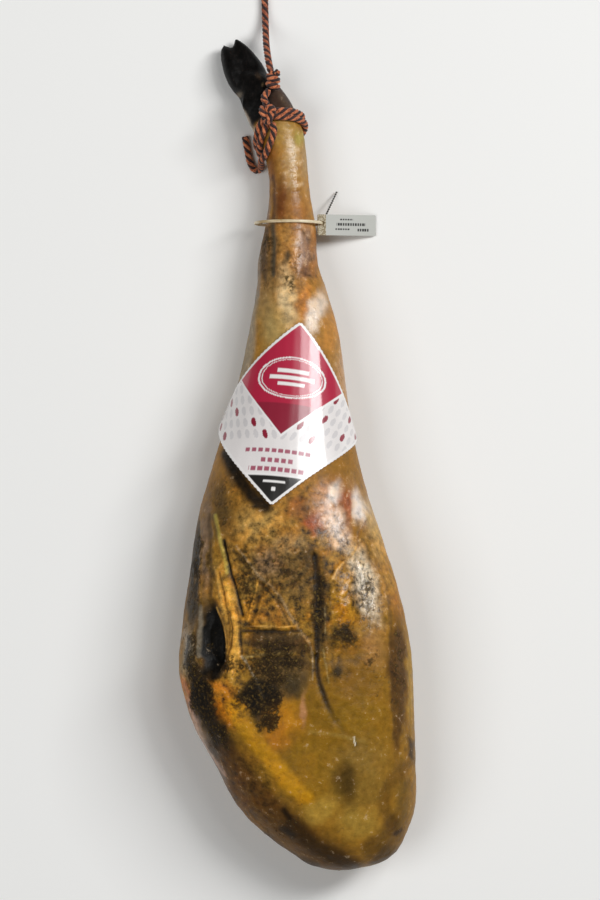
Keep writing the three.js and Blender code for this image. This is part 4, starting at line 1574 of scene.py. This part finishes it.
@dataclass
class Seal:
    """A nylon strap locked round the shank, its toothed tail, and the printed tag that it carries."""

    ring: Point = (-9.1, 232.0, 36.2)  # the ring's middle
    half_x: float = 33.6
    half_z: float = 27.4
    steps: int = 96
    strap_wide: float = 3.0
    strap_thick: float = 1.2
    lean: float = 3.5  # degrees
    lock: Point = (24.5, 232.0, 27.0)
    lock_size: Point = (5.2, 6.5, 6.0)
    tail_tip: Point = (39.5, 264.5, 2.4)
    tail_wide: float = 2.2
    tail_thick: float = 0.9
    teeth: int = 15
    tag_wide: float = 21.0
    tag_left: Point = (20.0, 230.5, 38.0)
    tag_right: Point = (78.5, 230.5, 1.6)
    tag_thick: float = 1.0
    tag_corner: float = 1.5
    tag_hole: float = 2.6
    tag_cells: tuple[int, int] = (150, 54)
    tag_bow: float = 0.9  # mm, how far it bows up from end to end
    # The tag's broken bars: from, to, how far up and half their thickness.
    bars: tuple[tuple[float, float, float, float], ...] = (
        (26.0, 41.0, 5.6, 0.9),
        (22.0, 56.0, 0.8, 1.5),
        (20.0, 38.0, -4.2, 0.8),
        (46.0, 60.0, -4.6, 1.3),
    )
    bar_break: float = 2.9
    greasy: float = 9.5  # mm of its end by the strap
    dark: str = "22201E"
    grease: str = "857658"
    film: str = "BCB29A"
    white: str = "BCBDB7"

    def build(self) -> None:
        """Build the strap, its lock and tail, and the tag."""
        self.strap()
        self.lock_box()
        self.tail()
        self.tag()

    def strap(self) -> None:
        """Spin the strap's rounded section into a ring and stand it across the shank."""
        shape = bmesh.new()
        bmesh.ops.create_circle(shape, segments=12, radius=1.0)
        for vert in shape.verts:
            square = max(abs(vert.co.x), abs(vert.co.y)) ** 0.5
            vert.co.x *= self.strap_thick / 2 / square
            vert.co.y *= self.strap_wide / 2 / square
        bmesh.ops.translate(shape, verts=shape.verts, vec=(self.half_z, 0, 0))
        bmesh.ops.spin(
            shape,
            geom=shape.verts[:] + shape.edges[:],
            cent=(0, 0, 0),
            axis=(0, 1, 0),
            angle=2 * math.pi,
            steps=self.steps,
            use_merge=True,
        )
        bmesh.ops.remove_doubles(shape, verts=shape.verts, dist=0.001)
        bmesh.ops.recalc_face_normals(shape, faces=shape.faces)
        bmesh.ops.scale(shape, vec=(self.half_x / self.half_z, 1, 1), verts=shape.verts)
        lean = Matrix.Rotation(-math.radians(self.lean), 4, "X")
        bmesh.ops.transform(shape, matrix=Matrix.Translation(self.ring) @ lean, verts=shape.verts)
        mount(add_shape("seal_strap", shape, NYLON), "tie_plastic", "seal_tie")

    def lock_box(self) -> None:
        """Build the strap's lock: a small moulded box with a slot for the tail."""
        shape = bmesh.new()
        bmesh.ops.create_cube(shape, size=1.0)
        bmesh.ops.scale(shape, vec=self.lock_size, verts=shape.verts)
        front = [face for face in shape.faces if face.normal.y > 0.9]
        bmesh.ops.inset_region(shape, faces=front, thickness=1.1, depth=0)
        slot = list({vert for face in front if face.is_valid for vert in face.verts})
        bmesh.ops.translate(shape, verts=slot, vec=(0, -1.2, 0))
        outer = [edge for edge in shape.edges if edge.calc_face_angle(0) > 1.2]
        bmesh.ops.bevel(shape, geom=outer, offset=0.5, segments=3, profile=0.5, affect="EDGES", material=-1)
        bmesh.ops.translate(shape, vec=self.lock, verts=shape.verts)
        mount(add_shape("seal_lock", shape, NYLON), "tie_plastic")

    def tail(self) -> None:
        """Build the strap's thin grey tail, with a row of teeth along it."""
        start, tip = Vector(self.lock), Vector(self.tail_tip)
        run = tip - start
        shape = bmesh.new()
        bmesh.ops.create_cube(shape, size=1.0)
        bmesh.ops.scale(shape, vec=(self.tail_wide / 2, run.length, self.tail_thick), verts=shape.verts)
        bmesh.ops.bevel(
            shape, geom=shape.edges[:], offset=0.25, segments=2, profile=0.5, affect="EDGES", material=-1
        )
        for k in range(self.teeth):
            place = Matrix.Translation((0, ((k + 0.9) / self.teeth - 0.5) * run.length - 0.4, 0))
            tooth = bmesh.ops.create_uvsphere(shape, u_segments=10, v_segments=6, radius=1.0, matrix=place)
            for vert in tooth["verts"]:
                vert.co.x *= self.tail_wide / 2
                vert.co.z *= 0.6
        turn = Vector((0, 1, 0)).rotation_difference(run.normalized()).to_matrix().to_4x4()
        bmesh.ops.transform(shape, matrix=Matrix.Translation((start + tip) / 2) @ turn, verts=shape.verts)
        mount(add_shape("seal_tail", shape, GREY_NYLON), "tie_plastic")

    def tag(self) -> None:
        """Cut the tag from a grid, print it, and slope it from the strap down to the ground."""
        left, right = Vector(self.tag_left), Vector(self.tag_right)
        long = (right - left).length
        hole = Vector(((self.lock[0] - left.x) * long / (right.x - left.x), self.ring[1] - left.y, 0))
        shape = bmesh.new()
        bmesh.ops.create_grid(shape, x_segments=self.tag_cells[0], y_segments=self.tag_cells[1], size=1.0)
        bmesh.ops.scale(shape, vec=(long / 2, self.tag_wide / 2, 1), verts=shape.verts)
        bmesh.ops.translate(shape, vec=(long / 2, 0, 0), verts=shape.verts)
        inside = [vert for vert in shape.verts if (vert.co - hole).length < self.tag_hole - 0.25]
        bmesh.ops.delete(shape, geom=inside, context="VERTS")
        for vert in shape.verts:
            if vert.is_boundary and (vert.co - hole).length < self.tag_hole + 1.0:
                vert.co = hole + (vert.co - hole).normalized() * self.tag_hole
            x, y = rounded((vert.co.x - long / 2, vert.co.y), (long / 2, self.tag_wide / 2), self.tag_corner)
            vert.co.x, vert.co.y = x + long / 2, y
        colours = [linear(self.print_at(vert.co.x, vert.co.y)) for vert in shape.verts]
        slope = Matrix.Rotation(math.atan2(left.z - right.z, right.x - left.x), 4, "Y")
        for vert in shape.verts:
            vert.co.z += self.tag_bow * math.sin(math.pi * vert.co.x / long)
        bmesh.ops.transform(shape, matrix=Matrix.Translation(left) @ slope, verts=shape.verts)
        tag = add_shape("seal_tag_print", shape, TAG_FILM)
        paint_tint(tag.data, colours)
        thicken(tag, self.tag_thick)
        mount(tag, "tag_plastic", "seal_tag")

    def print_at(self, x: float, y: float) -> str:
        """Choose the tag's ink: plain dark bars on grey white, and a greasy end by the strap.

        Args:
            x: How far from the tag's left end, in mm.
            y: How far above its middle, in mm.

        Returns:
            The ink's hex colour.
        """
        for start, end, at, thick in self.bars:
            if start < x < end and abs(y - at) < thick and (x / self.bar_break) % 1.0 < 0.72:
                return self.dark
        if x < self.greasy:
            return self.grease if noise.noise(Vector((x * 0.7, y * 0.7, 4.2))) > 0.0 else self.film
        return self.white


# ---- The room -----------------------------------------------------------------------------------------------


@dataclass(frozen=True)
class Softbox:
    """A rectangular light: its direction from the ham, distance and size in metres, and power in watts."""

    name: str
    way: Point
    distance: float
    size: Plan
    power: float

    def hang(self, aim: Vector) -> None:
        """Hang the light and turn it to the ham.

        Args:
            aim: What it is turned to, in metres.
        """
        data = bpy.data.lights.new(self.name, "AREA")
        data.shape = "RECTANGLE"
        data.size, data.size_y = self.size
        data.energy = self.power
        light = add_object(self.name, data)
        towards = Vector(self.way).normalized()
        light.location = aim + towards * self.distance
        light.rotation_euler = towards.to_track_quat("Z", "Y").to_euler()
        light.visible_camera = False


@dataclass
class Studio:
    """A white board, soft white light and a long lens straight above the ham."""

    aim: Point = (0.0025, 0.005, 0.045)  # m
    distance: float = 7.5  # m
    lens: float = 300.0
    sensor: float = 36.0
    board: float = 80.0  # m
    world: float = 0.1
    softboxes: tuple[Softbox, ...] = (
        Softbox("key", (0.62, 0.34, 0.74), 4.5, (0.9, 2.4), 118.0),
        Softbox("overhead", (0.34, 0.42, 1.0), 5.0, (1.0, 2.0), 40.0),
        Softbox("fill", (-0.6, -0.2, 1.0), 5.0, (2.6, 3.2), 84.0),
    )

    def camera(self) -> None:
        """Look straight down, with the hoof towards the top of the view."""
        data = bpy.data.cameras.new("camera")
        data.lens = self.lens
        data.sensor_width = self.sensor
        data.clip_start = 0.1
        data.clip_end = 200.0
        camera = add_object("camera", data)
        camera.location = Vector(self.aim) + UP * self.distance
        bpy.context.scene.camera = camera

    def floor(self) -> None:
        """Lay the white board that the ham lies on."""
        shape = bmesh.new()
        bmesh.ops.create_grid(shape, x_segments=1, y_segments=1, size=self.board / MM / 2)
        bmesh.ops.translate(shape, verts=shape.verts, vec=(0, 0, -0.2))
        add_shape("white_board", shape, FLOOR)

    def lights(self) -> None:
        """Hang a tall softbox high on the right, a weak one overhead and a wide fill on the left."""
        for softbox in self.softboxes:
            softbox.hang(Vector(self.aim))
        world = bpy.data.worlds.new("white_room")
        world.use_nodes = True
        tree = world.node_tree
        feed(tree, tree.nodes["Background"], {"Color": (1, 1, 1, 1), "Strength": self.world})
        bpy.context.scene.world = world
        bpy.context.scene.view_settings.view_transform = "Standard"


def main() -> None:
    """Build the studio and the ham."""
    logging.basicConfig(level=logging.INFO, format="%(name)s: %(message)s")
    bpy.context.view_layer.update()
    studio = Studio()
    studio.camera()
    skin = Leg().build()
    HangingCord().build(skin)
    LabelCard().build()
    Seal().build()
    studio.floor()
    studio.lights()
    bpy.context.view_layer.update()
    log.info("the ham is built")


if __name__ == "__main__":
    main()
